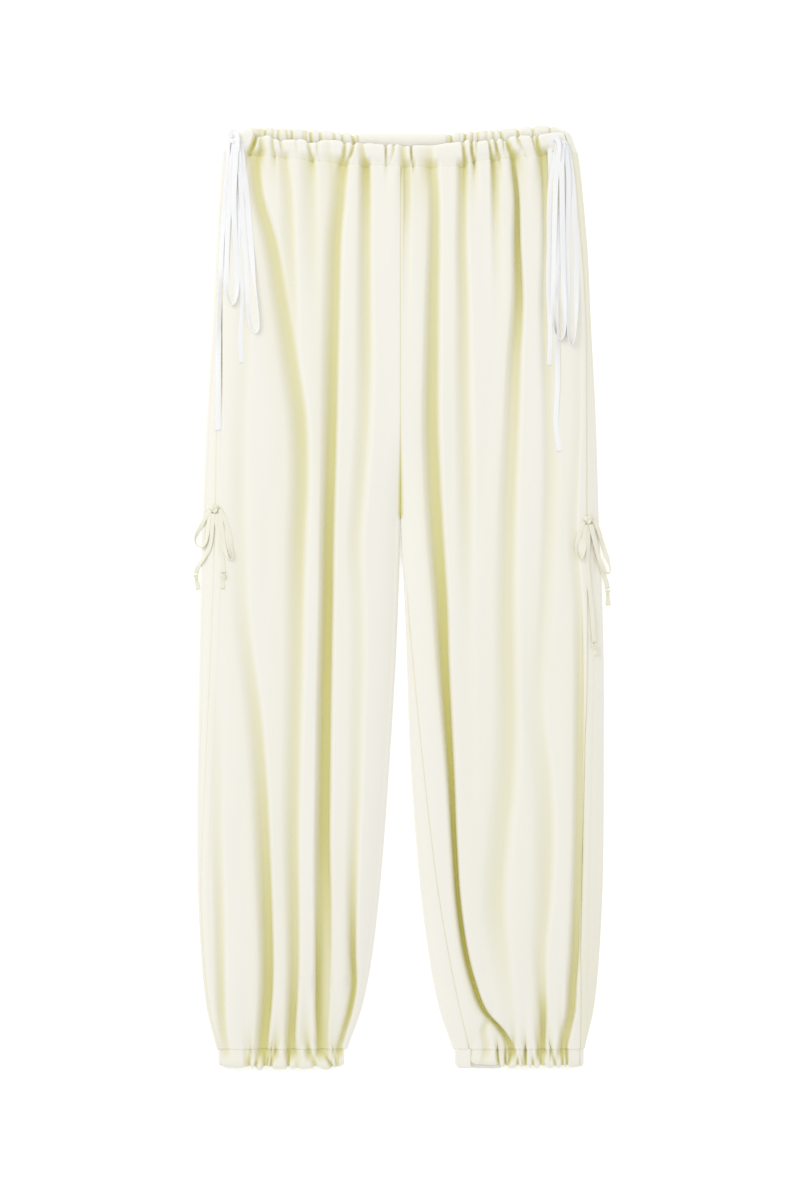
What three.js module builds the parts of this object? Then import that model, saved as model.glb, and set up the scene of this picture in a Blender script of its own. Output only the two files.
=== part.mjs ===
// Jogger pants laid flat on their back, front up, waist towards +Y.
// Millimetres. The wearer's right leg lies at -X, the left leg at +X.
// The origin is on the surface, under the middle of the garment.
import * as THREE from "three";

// Cloth
const CLOTH = 1.5; // crepe panel, as modelled
const CASING = 2.6; // doubled crepe over elastic
const CASING_LIP = 1.2; // thickness at a casing's rounded edge
const SEAM_GAP = 0.3; // space between pieces that are sewn together
const ROUND_GAP = 0.9; // the same where the seam lies on a tight round
const PILE = CLOTH + SEAM_GAP; // lowest place of the front's inner face, on the back
const LOFT = 0.2; // air between the front and the back where a fold goes right down
const VALLEY = PILE + CLOTH + LOFT; // outer face of the front at the bottom of its deepest folds

// Length, from the waist casing's seam to the ankle casing's seam
const WAIST = 464;
const FORK = 84;
const ANKLE = -487;
const HEM = -507.5; // lower edge of the ankle casings
const INNER_ROLL = 4; // reach of the rounded inner edge of a leg
const EDGE_HIGH = 9.2; // height of the garment's rounded outer edge
const CENTRE_DROP = 1.5; // beside the centre seam the cloth lies this much lower than its crest
const FORK_REACH = 60; // length above the fork over which the legs' inner edges join
const INSEAM_TURN = 90; // length below the fork over which the left inseam comes round to the face
const TUCKED_SEAM = 0.2; // part of the inner edge's round that lies below the inseam, right leg
const CENTRE_BACK_SHIFT = 16; // the centre back seam lies this far to -X at the waist
const SWELL = 14; // distance over which the cloth rises from its edges

// Places along the leg where the tables below give a value, waist to ankle
const SECTIONS = [505, 464, 386, 300, 192, 84, -46, -175, -305, -391, -445, -487, -510];

// Outlines, each measured outward from the centre line at those places.
// outer: outside edge. seam: side seam. roll: reach of the rounded outer edge.
// inner: inside edge of the leg. inseam: where the inseam shows on the face.
// crest: height of the cloth between the folds.
const OUTLINES = {
  right: {
    outer: [184, 192.8, 199.3, 203.6, 210.1, 214.4, 217.6, 219.8, 219.6, 215.5, 209.5, 199.3, 195.5],
    seam: [177, 183, 188.5, 192.8, 197.6, 199.3, 203.6, 209.5, 214.6, 211, 205, 194.8, 191],
    roll: [4.5, 4.5, 4.5, 4.5, 4.5, 4.5, 4.5, 4.5, 3.6, 3.4, 3.4, 3.4, 3.4],
    inner: [0, 0, 0, 0, 0, 1.1, 4.9, 12.4, 22.1, 31.9, 43, 57.8, 62],
    inseam: [0, 0, 0, 0, 0, 0, 0, 0, 0, 0, 0, 0, 0],
    crest: [13.5, 13.5, 15.5, 16.5, 17, 17, 17, 17, 17, 17, 16, 13.5, 12],
  },
  left: {
    outer: [182.5, 191.7, 201.4, 205.7, 211.1, 214.4, 219.3, 219.8, 218.7, 214.4, 208.7, 199.3, 197.5],
    seam: [174.4, 184, 193.9, 199.3, 200.3, 200.3, 201.4, 198.7, 195.7, 194.2, 194, 193.4, 192],
    roll: [4.5, 4.5, 4.5, 4.5, 4.5, 4.5, 4.5, 4.5, 4.5, 4.5, 4, 3.6, 3.4],
    inner: [0, 0, 0, 0, 0, 1.1, 5.9, 10.3, 20, 30.8, 41.6, 55.6, 60],
    inseam: [0, 0, 0, 0, 0, 1.6, 11.9, 24.3, 39.4, 53.5, 64.8, 74.5, 77],
    crest: [13.5, 13.5, 15.5, 16.5, 17, 17, 17, 17, 17, 17, 16, 13.5, 12],
  },
};

// Height of the front at the centre front seam, from the waist to the fork
const CENTRE_FRONT = [11, 11, 12, 12, 9.5, 4, 4, 4, 4, 4, 4, 4, 4];

// Long folds of each front, outside to inside. at: distance from the centre line at the
// sections above. deep: 0 for none to 1 for down to the back panel. flat: half the width of
// the fold's floor. inward, outward: reach of its slopes.
const FOLDS = {
  right: [
    {
      name: "outer shin",
      at: [196, 185, 190, 193, 195, 196, 197, 197, 196, 196, 194, 186, 184],
      deep: [0, 0, 0, 0, 0, 0, 0, 0, 0.2, 0.3, 0.35, 0.3, 0.2],
      flat: 1, inward: 9, outward: 7,
    },
    {
      name: "outer knee",
      at: [167, 167, 163, 167, 171, 173, 166, 152, 146, 143, 142.5, 143, 143],
      deep: [0, 0, 0, 0.1, 0.12, 0.12, 0.25, 0.5, 0.85, 0.95, 0.95, 0.9, 0.9],
      flat: 4, inward: 3.5, outward: 11,
    },
    {
      name: "hip to shin",
      at: [156, 155, 139, 123.7, 108.5, 108.5, 111.8, 114, 115.5, 114.5, 115, 113, 113],
      deep: [0.7, 0.75, 0.6, 0.6, 0.55, 0.5, 0.42, 0.38, 0.45, 0.6, 0.8, 0.9, 0.9],
      flat: 2, inward: 4, outward: 13,
    },
    {
      name: "full length",
      at: [61, 61.6, 71.8, 74.5, 78.3, 79.4, 79.9, 81.5, 83.7, 83.7, 84.2, 81.5, 81.5],
      deep: [0.6, 0.65, 0.75, 0.78, 0.82, 0.95, 1, 1, 1, 1, 1, 0.9, 0.9],
      flat: 5.5, inward: 3, outward: 5,
    },
    {
      name: "inner thigh",
      at: [37, 37.3, 38.3, 38.9, 43.7, 48.6, 47, 50.2, 51.3, 48, 53.5, 62, 67],
      deep: [0.75, 0.78, 0.5, 0.45, 0.32, 0.28, 0.22, 0.28, 0.4, 0.85, 0.95, 0.9, 0.6],
      flat: 1.5, inward: 4, outward: 10,
    },
  ],
  left: [
    {
      name: "outer knee",
      at: [168, 177, 181, 183, 184, 186, 191, 192, 188.5, 184, 182, 179, 179],
      deep: [0, 0, 0, 0, 0.1, 0.15, 0.45, 0.7, 0.85, 0.9, 0.9, 0.85, 0.8],
      flat: 4, inward: 2.5, outward: 6,
    },
    {
      name: "outer hip",
      at: [153, 155, 155, 159, 164, 158, 152, 155, 153.5, 148, 151.5, 148, 148],
      deep: [0.7, 0.75, 0.5, 0.35, 0.25, 0.2, 0.2, 0.1, 0.3, 0.4, 0.65, 0.95, 0.9],
      flat: 2, inward: 9, outward: 4,
    },
    {
      name: "deep hip",
      at: [117, 124, 126, 126, 120.5, 117, 115, 113, 104, 106, 113, 127, 127],
      deep: [0.95, 0.9, 1, 0.85, 0.5, 0.45, 0.42, 0.4, 0.35, 0.3, 0.15, 0.1, 0.1],
      flat: 2.2, inward: 3.5, outward: 3.5,
    },
    {
      name: "middle thigh",
      at: [66.4, 66.4, 66.4, 67.5, 67.5, 69.7, 72, 84, 92, 98, 104, 117, 117],
      deep: [0.75, 0.7, 0.5, 0.4, 0.35, 0.28, 0.1, 0, 0, 0, 0, 0, 0],
      flat: 1.5, inward: 10, outward: 4,
    },
    {
      name: "thigh to ankle",
      at: [34, 35, 35, 33, 30.8, 35.6, 44.3, 52.4, 62.6, 74, 88, 110, 112],
      deep: [0.5, 0.6, 0.65, 0.68, 0.75, 0.88, 1, 1, 1, 1, 1, 1, 0.9],
      flat: 4, inward: 5, outward: 2.5,
    },
  ],
};

// Rows of a table, each value under the name of its column
const named = (columns, rows) =>
  rows.map((row) => Object.fromEntries(columns.map((column, place) => [column, row[place]])));

// Tucks of the gathered edges. at: place across, from the centre line. deep: 0 to 1.
// wide: half its width.
const WAIST_FRONT_TUCKS = named(["at", "deep", "wide"], [
  [-161.5, 0.9, 4], [-151.7, 0.8, 4], [-136.6, 0.75, 4.5], [-128, 0.4, 3.5], [-97.7, 0.7, 5],
  [-61, 0.7, 5], [-53, 0.6, 3.5], [-37.3, 0.75, 5], [-17.5, 0.55, 3.5], [-9.5, 0.4, 3.5],
  [1.5, 0.55, 4], [12.5, 0.75, 3.5], [33.5, 0.6, 8], [66.4, 0.8, 4], [76.7, 0.9, 4],
  [95.6, 0.9, 4], [104.8, 0.8, 4], [116, 0.95, 5], [131.2, 0.5, 4], [140.5, 0.5, 4], [150, 0.85, 4.5],
]);
const WAIST_BACK_TUCKS = named(["at", "deep", "wide"], [
  [-154, 0.7, 4.5], [-142, 0.8, 4], [-131.5, 0.6, 4], [-119.5, 0.7, 5], [-108, 0.8, 4],
  [-97, 0.9, 4], [-86, 0.6, 4], [-69, 0.6, 4.5], [-60, 0.8, 3.5], [-52.5, 0.6, 3], [-45.5, 0.7, 3],
  [51.3, 0.9, 4], [61, 0.5, 3.5], [70, 0.85, 3.5], [77.5, 0.7, 3], [85, 0.6, 3.5], [98.8, 0.7, 4],
  [110.7, 0.75, 4], [127, 0.8, 4.5], [143, 0.6, 4.5], [160, 0.5, 4.5],
]);
const ANKLE_TUCKS = {
  right: named(["at", "deep", "wide"], [
    [71, 0.7, 3], [78, 0.5, 3], [87, 0.8, 4], [96, 0.7, 4], [108, 0.5, 5], [119.3, 0.8, 4],
    [128.4, 0.6, 4], [137.7, 0.8, 3.5], [144.8, 0.9, 3.5], [155, 0.6, 3.5], [163, 0.7, 3.5], [170.5, 0.4, 4],
  ]),
  left: named(["at", "deep", "wide"], [
    [88, 0.4, 4], [105.3, 0.8, 4], [113.9, 0.9, 3.5], [121.2, 0.7, 3.5], [128.4, 0.7, 3.5],
    [136.6, 0.7, 4], [147, 0.95, 4.5], [163.6, 0.6, 5], [174.4, 0.75, 3.5], [181.8, 0.6, 3],
  ]),
};

// The waist casings' edges, at places across the front from -X to +X
const ACROSS = [-185, -165, -125, -85, -45, 0, 45, 65, 85, 125, 165, 185];
const WAIST_SEAM = [479.5, 479, 474, 470, 466, 465, 464, 464.5, 470, 473, 479, 479.5];
const FRONT_EDGE = [498, 498, 495, 492, 490.5, 487.5, 485.5, 488, 492, 496.5, 498.5, 498.5];
const BACK_EDGE = [498, 507, 507, 504.5, 501, 501, 501, 503, 504.5, 507, 509, 501];
const BACK_SEAM = 480; // the back casing's seam is level
const SPREAD_FROM = 386; // below this place the panels' rows no longer follow the waist seam

// Heights of the casings
const FRONT_CASING_HEIGHT = 14;
const FRONT_CASING_ENDS = 10.5;
const FRONT_CASING_LOW = 8.3; // bottom of its deepest tucks
const BACK_PUFF = 2.6; // how far the back casing lifts off the surface between tucks
const ANKLE_CASING_HEIGHT = 12;
const ANKLE_CASING_ENDS = 9;
const ANKLE_CASING_LOW = 6.2;
const ANKLE_PUFF = 1.3; // the same for the back ankle casings
const ANKLE_BACK_DROP = { right: 0, left: 1.8 }; // the back hem shows below the front hem
const TAPER = 26; // distance over which a casing's height falls towards its ends

// Smooth value between the rows of a table
function along(places, values, place) {
  const last = places.length - 1;
  const falls = places[0] > places[last];
  let row = 0;
  while (row < last - 1 && (falls ? place < places[row + 1] : place > places[row + 1])) {
    row += 1;
  }
  const slope = (index) => {
    const before = Math.max(index - 1, 0);
    const after = Math.min(index + 1, last);
    return (values[after] - values[before]) / (places[after] - places[before]);
  };
  const span = places[row + 1] - places[row];
  const share = THREE.MathUtils.clamp((place - places[row]) / span, 0, 1);
  const rise = values[row + 1] - values[row];
  const startSlope = slope(row) * span;
  const endSlope = slope(row + 1) * span;
  const curve = startSlope + endSlope - 2 * rise;
  const bend = rise - startSlope - curve;
  return values[row] + share * (startSlope + share * (bend + share * curve));
}

const outline = (side, column, y) => along(SECTIONS, OUTLINES[side][column], y);
const sign = (side) => (side === "right" ? -1 : 1);
const ease = (share) => {
  const held = THREE.MathUtils.clamp(share, 0, 1);
  return held * held * (3 - 2 * held);
};
const mix = (from, to, share) => from + (to - from) * share;

// 1 on a fold's floor, falling to 0 at the end of its slopes
function foldShare(fold, across, y) {
  const offset = across - along(SECTIONS, fold.at, y);
  const reach = offset > 0 ? fold.outward : fold.inward;
  const deep = THREE.MathUtils.clamp(along(SECTIONS, fold.deep, y), 0, 1);
  return deep * (1 - ease((Math.abs(offset) - fold.flat) / reach));
}

// Height of the front's outer face; across is measured outward from the centre line
function faceHeight(side, across, y) {
  const outer = outline(side, "outer", y);
  const roll = outline(side, "roll", y);
  const crest = outline(side, "crest", y);
  const fork = ease((y - FORK) / FORK_REACH);
  const inner = y < FORK ? outline(side, "inner", y) : 0;
  const rimIn = mix(2 * INNER_ROLL, crest - CENTRE_DROP, fork);
  const fromOuter = Math.max(outer - roll - across, 0);
  const fromInner = Math.max(across - inner - INNER_ROLL, 0);
  let height = crest;
  height -= (crest - EDGE_HIGH) * Math.exp(-fromOuter / SWELL);
  height -= (crest - rimIn) * Math.exp(-fromInner / SWELL);
  let keep = 1;
  for (const fold of FOLDS[side]) {
    keep *= 1 - foldShare(fold, across, y);
  }
  return VALLEY + (height - VALLEY) * keep;
}

// Height of the face and of the upper half of the rounded outer edge
function topHeight(side, across, y) {
  const outer = outline(side, "outer", y);
  const roll = outline(side, "roll", y);
  const border = outer - roll;
  if (across <= border) {
    return faceHeight(side, across, y);
  }
  const half = faceHeight(side, border, y) / 2;
  const share = Math.min((across - border) / roll, 1);
  return half + half * Math.sqrt(1 - share * share);
}

// Length of cloth between the floor and the inseam, round the inner edge
const ROUND = Math.PI * INNER_ROLL;
function inseamWrap(side, y) {
  if (side === "right" || y >= FORK) {
    return ROUND * TUCKED_SEAM;
  }
  const strip = outline(side, "inseam", y) - outline(side, "inner", y) - INNER_ROLL;
  const started = ease((FORK - y) / INSEAM_TURN);
  return mix(ROUND * TUCKED_SEAM, ROUND + Math.max(strip, 0), started);
}

// A point on the inner edge of a leg, a length of cloth away from the floor
function innerPoint(side, y, length) {
  if (y > FORK) {
    const centre = along(SECTIONS, CENTRE_FRONT, y);
    const top = faceHeight(side, INNER_ROLL, y);
    if (length > ROUND) {
      const across = INNER_ROLL + length - ROUND;
      return [across, faceHeight(side, across, y)];
    }
    const turn = (length / ROUND - 0.5) * Math.PI;
    const across = SEAM_GAP / 2 + INNER_ROLL * (1 - Math.cos(turn));
    return [across, centre + (top - centre) * Math.sin(turn)];
  }
  const inner = outline(side, "inner", y);
  if (length > ROUND) {
    const across = inner + INNER_ROLL + length - ROUND;
    return [across, topHeight(side, across, y)];
  }
  const half = faceHeight(side, inner + INNER_ROLL, y) / 2;
  const turn = (length / ROUND - 0.5) * Math.PI;
  return [inner + INNER_ROLL - INNER_ROLL * Math.cos(turn), half + half * Math.sin(turn)];
}

// Where the front's cloth ends, measured as in innerPoint
function frontEnd(side, y) {
  if (y > FORK) {
    return ROUND / 2;
  }
  const wrap = inseamWrap(side, y);
  return wrap + (wrap < ROUND ? ROUND_GAP : SEAM_GAP);
}

// Rows of the panels, waist to ankle
const ROWS = [
  464, 430, 386, 345, 300, 246, 192, 138, 98, 84, 54, -4,
  -80, -175, -240, -305, -360, -405, -445, -487,
];

// The top rows spread to meet a casing's seam
function rowPlace(y, casingSeam) {
  const lift = casingSeam - SEAM_GAP / 2 - WAIST;
  return y + lift * ease((y - SPREAD_FROM) / (WAIST - SPREAD_FROM));
}

// The grid of points moved in by the thickness, square to the cloth
function movedIn(grid, thickness) {
  const lastRow = grid.length - 1;
  const lastColumn = grid[0].length - 1;
  return grid.map((line, row) => line.map((point, column) => {
    const down = grid[Math.min(row + 1, lastRow)][column].clone()
      .sub(grid[Math.max(row - 1, 0)][column]);
    const over = line[Math.min(column + 1, lastColumn)].clone()
      .sub(line[Math.max(column - 1, 0)]);
    const normal = down.cross(over);
    if (row === 0 || row === lastRow) {
      normal.y = 0; // the wall's ends stay in line with the seam
    }
    return point.clone().addScaledVector(normal.normalize(), thickness(row));
  }));
}

// The grid of points moved straight down by the thickness
function movedDown(grid, thickness) {
  return grid.map((line, row) => line.map(
    ({ x, y, z }) => new THREE.Vector3(x, y, z - thickness(row)),
  ));
}

// A panel's grid carries one more column past each seam, which only sets the slope there
function panelWall(grid) {
  const inner = movedIn(grid, () => CLOTH);
  const trimmed = (line) => line.slice(1, -1);
  return wall(grid.map(trimmed), inner.map(trimmed));
}

// A closed wall between its outer and inner grids of points
function wall(grid, inner) {
  const rows = grid.length;
  const columns = grid[0].length;
  const positions = [];
  for (const side of [grid, inner]) {
    for (const line of side) {
      for (const point of line) {
        positions.push(point.x, point.y, point.z);
      }
    }
  }
  const layer = rows * columns;
  const at = (row, column, side) => side * layer + row * columns + column;
  const index = [];
  const quad = (a, b, c, d) => index.push(a, b, c, a, c, d);
  for (let row = 0; row < rows - 1; row += 1) {
    for (let column = 0; column < columns - 1; column += 1) {
      quad(at(row, column, 0), at(row, column + 1, 0), at(row + 1, column + 1, 0), at(row + 1, column, 0));
      quad(at(row, column, 1), at(row + 1, column, 1), at(row + 1, column + 1, 1), at(row, column + 1, 1));
    }
    const end = columns - 1;
    quad(at(row, 0, 0), at(row + 1, 0, 0), at(row + 1, 0, 1), at(row, 0, 1));
    quad(at(row, end, 0), at(row, end, 1), at(row + 1, end, 1), at(row + 1, end, 0));
  }
  for (let column = 0; column < columns - 1; column += 1) {
    const end = rows - 1;
    quad(at(0, column, 0), at(0, column, 1), at(0, column + 1, 1), at(0, column + 1, 0));
    quad(at(end, column, 0), at(end, column + 1, 0), at(end, column + 1, 1), at(end, column, 1));
  }
  return facingOut(positions, index);
}

// A closed geometry whose faces point outward
function facingOut(positions, index) {
  const corner = (place) => new THREE.Vector3().fromArray(positions, place * 3);
  let volume = 0;
  for (let face = 0; face < index.length; face += 3) {
    const [a, b, c] = [corner(index[face]), corner(index[face + 1]), corner(index[face + 2])];
    volume += a.dot(b.cross(c));
  }
  if (volume < 0) {
    for (let face = 0; face < index.length; face += 3) {
      [index[face], index[face + 1]] = [index[face + 1], index[face]];
    }
  }
  const geometry = new THREE.BufferGeometry();
  geometry.setAttribute("position", new THREE.Float32BufferAttribute(positions, 3));
  geometry.setIndex(index);
  geometry.computeVertexNormals();
  return geometry;
}

// A wall grows to the left of its columns' course, so some grids run the other way
const turned = (grid) => grid.map((line) => line.slice().reverse());

const SEAM_COLUMN = 1.2; // a column runs this close to the side seam
const COLUMN_SPACING = 1.2; // columns are never closer together than this
const FLAT_START = 8; // the inner edge's own columns start this far onto the face
const SLOPE_REACH = 1; // how far the column that only sets the slope lies past a centre seam
const NARROW = 2; // a fold whose floor is up to this, halved, has one column there
// Columns of the front: the shoulders and floor of each fold, and a crest between folds
function frontColumns(side, y) {
  const outerEnd = outline(side, "seam", y) - SEAM_GAP / 2;
  const inner = y < FORK ? outline(side, "inner", y) : 0;
  const wrapped = Math.max(inseamWrap(side, y), ROUND) - ROUND;
  const innerStart = inner + INNER_ROLL + wrapped + FLAT_START;
  const places = [outerEnd, outerEnd - SEAM_COLUMN];
  for (const fold of FOLDS[side]) {
    const at = along(SECTIONS, fold.at, y);
    const floor = fold.flat > NARROW ? [at + fold.flat, at - fold.flat] : [at];
    const shoulders = [at + fold.flat + fold.outward, ...floor, at - fold.flat - fold.inward];
    places.push((places[places.length - 1] + shoulders[0]) / 2, ...shoulders);
  }
  places.push((places[places.length - 1] + innerStart) / 2, innerStart);
  // Columns that the edges or a near fold would overrun are held a little apart
  const last = places.length - 1;
  for (let column = 1; column < last; column += 1) {
    const least = innerStart + COLUMN_SPACING * (last - column);
    const most = places[column - 1] - COLUMN_SPACING;
    places[column] = Math.max(Math.min(places[column], most), least);
  }
  return places;
}

const FRONT_ROLL_SHARES = [0.3, 0.58, 0.82, 0.94, 1]; // closer together at the inseam
function frontPanel(side) {
  const grid = ROWS.map((row) => {
    const columns = frontColumns(side, row);
    columns.unshift(columns[0] + SEAM_COLUMN);
    const points = columns.map((across) => [across, topHeight(side, across, row)]);
    const start = Math.max(inseamWrap(side, row), ROUND) + FLAT_START;
    const end = frontEnd(side, row);
    for (const share of FRONT_ROLL_SHARES) {
      points.push(innerPoint(side, row, mix(start, end, share)));
    }
    const [edge, edgeHeight] = points[points.length - 1];
    const past = [edge, edgeHeight - SLOPE_REACH];
    points.push(row > FORK ? past : innerPoint(side, row, end - SEAM_COLUMN));
    return points.map(([across, z]) => {
      const x = sign(side) * across;
      return new THREE.Vector3(x, rowPlace(row, along(ACROSS, WAIST_SEAM, x)), z);
    });
  });
  return panelWall(side === "right" ? turned(grid) : grid);
}

const STRIP_SHARES = [0, 0.12, 0.5, 1]; // closer together at the side seam
const ROLL_STEPS = 4;
const FLOOR_STEPS = 7;
const WRAP_STEPS = 5;
const SEAM_FLAT = 6; // the last columns lie within this distance of the centre back seam
function backPanel(side) {
  const grid = ROWS.map((row) => {
    const outer = outline(side, "outer", row);
    const roll = outline(side, "roll", row);
    const seam = outline(side, "seam", row) + SEAM_GAP / 2;
    const border = outer - roll;
    const half = faceHeight(side, border, row) / 2;
    const points = [[seam - SEAM_COLUMN, topHeight(side, seam - SEAM_COLUMN, row)]];
    for (const share of STRIP_SHARES) {
      const across = mix(seam, border, share);
      points.push([across, faceHeight(side, across, row)]);
    }
    for (let step = 1; step <= ROLL_STEPS; step += 1) {
      const turn = (0.5 - step / ROLL_STEPS) * Math.PI;
      points.push([border + roll * Math.cos(turn), half + half * Math.sin(turn)]);
    }
    const aboveFork = row > FORK;
    const shift = CENTRE_BACK_SHIFT * THREE.MathUtils.clamp((row - FORK) / (WAIST - FORK), 0, 1);
    const inner = aboveFork
      ? -sign(side) * shift + SEAM_GAP / 2
      : outline(side, "inner", row) + INNER_ROLL;
    const wrap = aboveFork ? 0 : inseamWrap(side, row);
    const flatEnd = aboveFork ? inner + SEAM_FLAT : inner;
    for (let step = 1; step <= FLOOR_STEPS; step += 1) {
      points.push([mix(border, flatEnd, step / FLOOR_STEPS), 0]);
    }
    for (let step = 1; step <= WRAP_STEPS; step += 1) {
      const share = step / WRAP_STEPS;
      const flat = [mix(flatEnd, inner, share), 0];
      points.push(aboveFork ? flat : innerPoint(side, row, wrap * share));
    }
    const past = [inner - SLOPE_REACH, 0];
    points.push(aboveFork ? past : innerPoint(side, row, wrap + SEAM_COLUMN));
    const y = rowPlace(row, BACK_SEAM);
    return points.map(([across, z]) => new THREE.Vector3(sign(side) * across, y, z));
  });
  return panelWall(side === "right" ? grid : turned(grid));
}

// Places across a gathered edge: both shoulders and the middle of each tuck, and plain cloth
// between them in pieces no wider than the widest
const TUCK_ROOM = 1.6; // places closer together than this are left out
function gatheredPlaces(tucks, from, to, widest) {
  const places = [from];
  const wanted = tucks.flatMap((tuck) => [tuck.at - tuck.wide, tuck.at, tuck.at + tuck.wide]);
  wanted.push(to);
  for (const place of wanted) {
    const before = places[places.length - 1];
    const gap = place - before;
    const pieces = Math.ceil(gap / widest);
    for (let piece = 1; piece < pieces; piece += 1) {
      places.push(before + (gap * piece) / pieces);
    }
    if (gap > TUCK_ROOM && (place === to || place < to - TUCK_ROOM)) {
      places.push(place);
    }
  }
  return places;
}

// How deep a place lies in the tucks, 0 to 1
function tuckShare(tucks, place) {
  let keep = 1;
  for (const tuck of tucks) {
    keep *= 1 - tuck.deep * (1 - ease(Math.abs(place - tuck.at) / tuck.wide));
  }
  return 1 - keep;
}

const BAND = [0, 0.75, 1]; // rows of a casing, seam to edge
const LIP_DROP = 1.1; // the outer face falls this far at a casing's edge
const lipThickness = (row) => (row === BAND.length - 1 ? CASING_LIP : CASING);
const WAIST_LEVEL = 490; // the ends of the waist casings are measured here
const WAIST_ROLL = 4.5; // reach of the back waist casing's rounded ends
const WAIST_WIDEST = 14; // widest plain cloth between two places of a waist casing
const PUFF_START = 12; // the back waist casing's puffs start this far from its ends

function waistCasingFront() {
  const from = -(outline("right", "seam", WAIST_LEVEL) - SEAM_GAP / 2);
  const to = outline("left", "seam", WAIST_LEVEL) - SEAM_GAP / 2;
  const places = gatheredPlaces(WAIST_FRONT_TUCKS, from, to, WAIST_WIDEST);
  const grid = BAND.map((share, row) => places.map((x) => {
    const fromEnd = Math.min(x - from, to - x);
    const rise = mix(FRONT_CASING_HEIGHT, FRONT_CASING_ENDS, Math.exp(-fromEnd / TAPER));
    const height = mix(rise, FRONT_CASING_LOW, tuckShare(WAIST_FRONT_TUCKS, x));
    const low = along(ACROSS, WAIST_SEAM, x) + SEAM_GAP / 2;
    const high = along(ACROSS, FRONT_EDGE, x);
    const lip = row === BAND.length - 1 ? LIP_DROP : 0;
    return new THREE.Vector3(x, mix(low, high, share), height - lip);
  }));
  return wall(grid, movedDown(grid, lipThickness));
}

// A back casing's end: from the side seam round the outer edge down to the surface
const END_STEPS = 5;
function casingEnd(side, level, roll, high) {
  const outer = outline(side, "outer", level);
  const points = [[outline(side, "seam", level) + SEAM_GAP / 2, high]];
  for (let step = 0; step <= END_STEPS; step += 1) {
    const turn = (0.5 - step / END_STEPS) * Math.PI;
    const across = outer - roll + roll * Math.cos(turn);
    points.push([across, high / 2 + (high / 2) * Math.sin(turn)]);
  }
  return points;
}

// The back casing lies on the surface and comes round both ends to the side seams
function waistCasingBack() {
  const [right, left] = ["right", "left"].map((side) => {
    const end = casingEnd(side, WAIST_LEVEL, WAIST_ROLL, FRONT_CASING_ENDS);
    return end.map(([across, z]) => [sign(side) * across, z]);
  });
  const from = right[right.length - 1][0];
  const to = left[left.length - 1][0];
  const floor = gatheredPlaces(WAIST_BACK_TUCKS, from, to, WAIST_WIDEST).slice(1, -1);
  const puffs = floor.map((x) => {
    const fromEnd = Math.min(x - from, to - x);
    const open = 1 - tuckShare(WAIST_BACK_TUCKS, x);
    return [x, BACK_PUFF * open * ease(fromEnd / PUFF_START)];
  });
  const path = [...right, ...puffs, ...left.reverse()];
  const low = BACK_SEAM + SEAM_GAP / 2;
  const grid = BAND.map((share) => path.map(
    ([x, z]) => new THREE.Vector3(x, mix(low, along(ACROSS, BACK_EDGE, x), share), z),
  ));
  grid.reverse();
  return wall(grid, movedIn(grid, (row) => lipThickness(BAND.length - 1 - row)));
}

const ANKLE_LEVEL = -497; // the ends of the ankle casings are measured here
const ANKLE_ROLL = 3.4; // reach of the back ankle casings' rounded edges
const ANKLE_TAPER = 10; // distance over which an ankle casing's height changes towards its ends
const ANKLE_WIDEST = 12; // widest plain cloth between two places of an ankle casing
const INNER_END = 1; // the right leg's casings end this far from its inside edge
const BACK_TUCK_SHIFT = 4; // the back's tucks lie this far outward of the front's

function ankleCasingFront(side) {
  const inner = outline(side, "inner", ANKLE_LEVEL) + INNER_END;
  const inseam = outline(side, "inseam", ANKLE_LEVEL);
  const from = (side === "right" ? inner : inseam) + SEAM_GAP / 2;
  const to = outline(side, "seam", ANKLE_LEVEL) - SEAM_GAP / 2;
  const low = ANKLE - SEAM_GAP / 2;
  const places = gatheredPlaces(ANKLE_TUCKS[side], from, to, ANKLE_WIDEST);
  const grid = BAND.map((share, row) => places.map((across) => {
    const fromEnd = Math.min(across - from, to - across);
    const rise = mix(ANKLE_CASING_HEIGHT, ANKLE_CASING_ENDS, Math.exp(-fromEnd / ANKLE_TAPER));
    const height = mix(rise, ANKLE_CASING_LOW, tuckShare(ANKLE_TUCKS[side], across));
    const lip = row === BAND.length - 1 ? LIP_DROP : 0;
    return new THREE.Vector3(sign(side) * across, mix(low, HEM, share), height - lip);
  }));
  return wall(grid, movedDown(grid, lipThickness));
}

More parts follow.
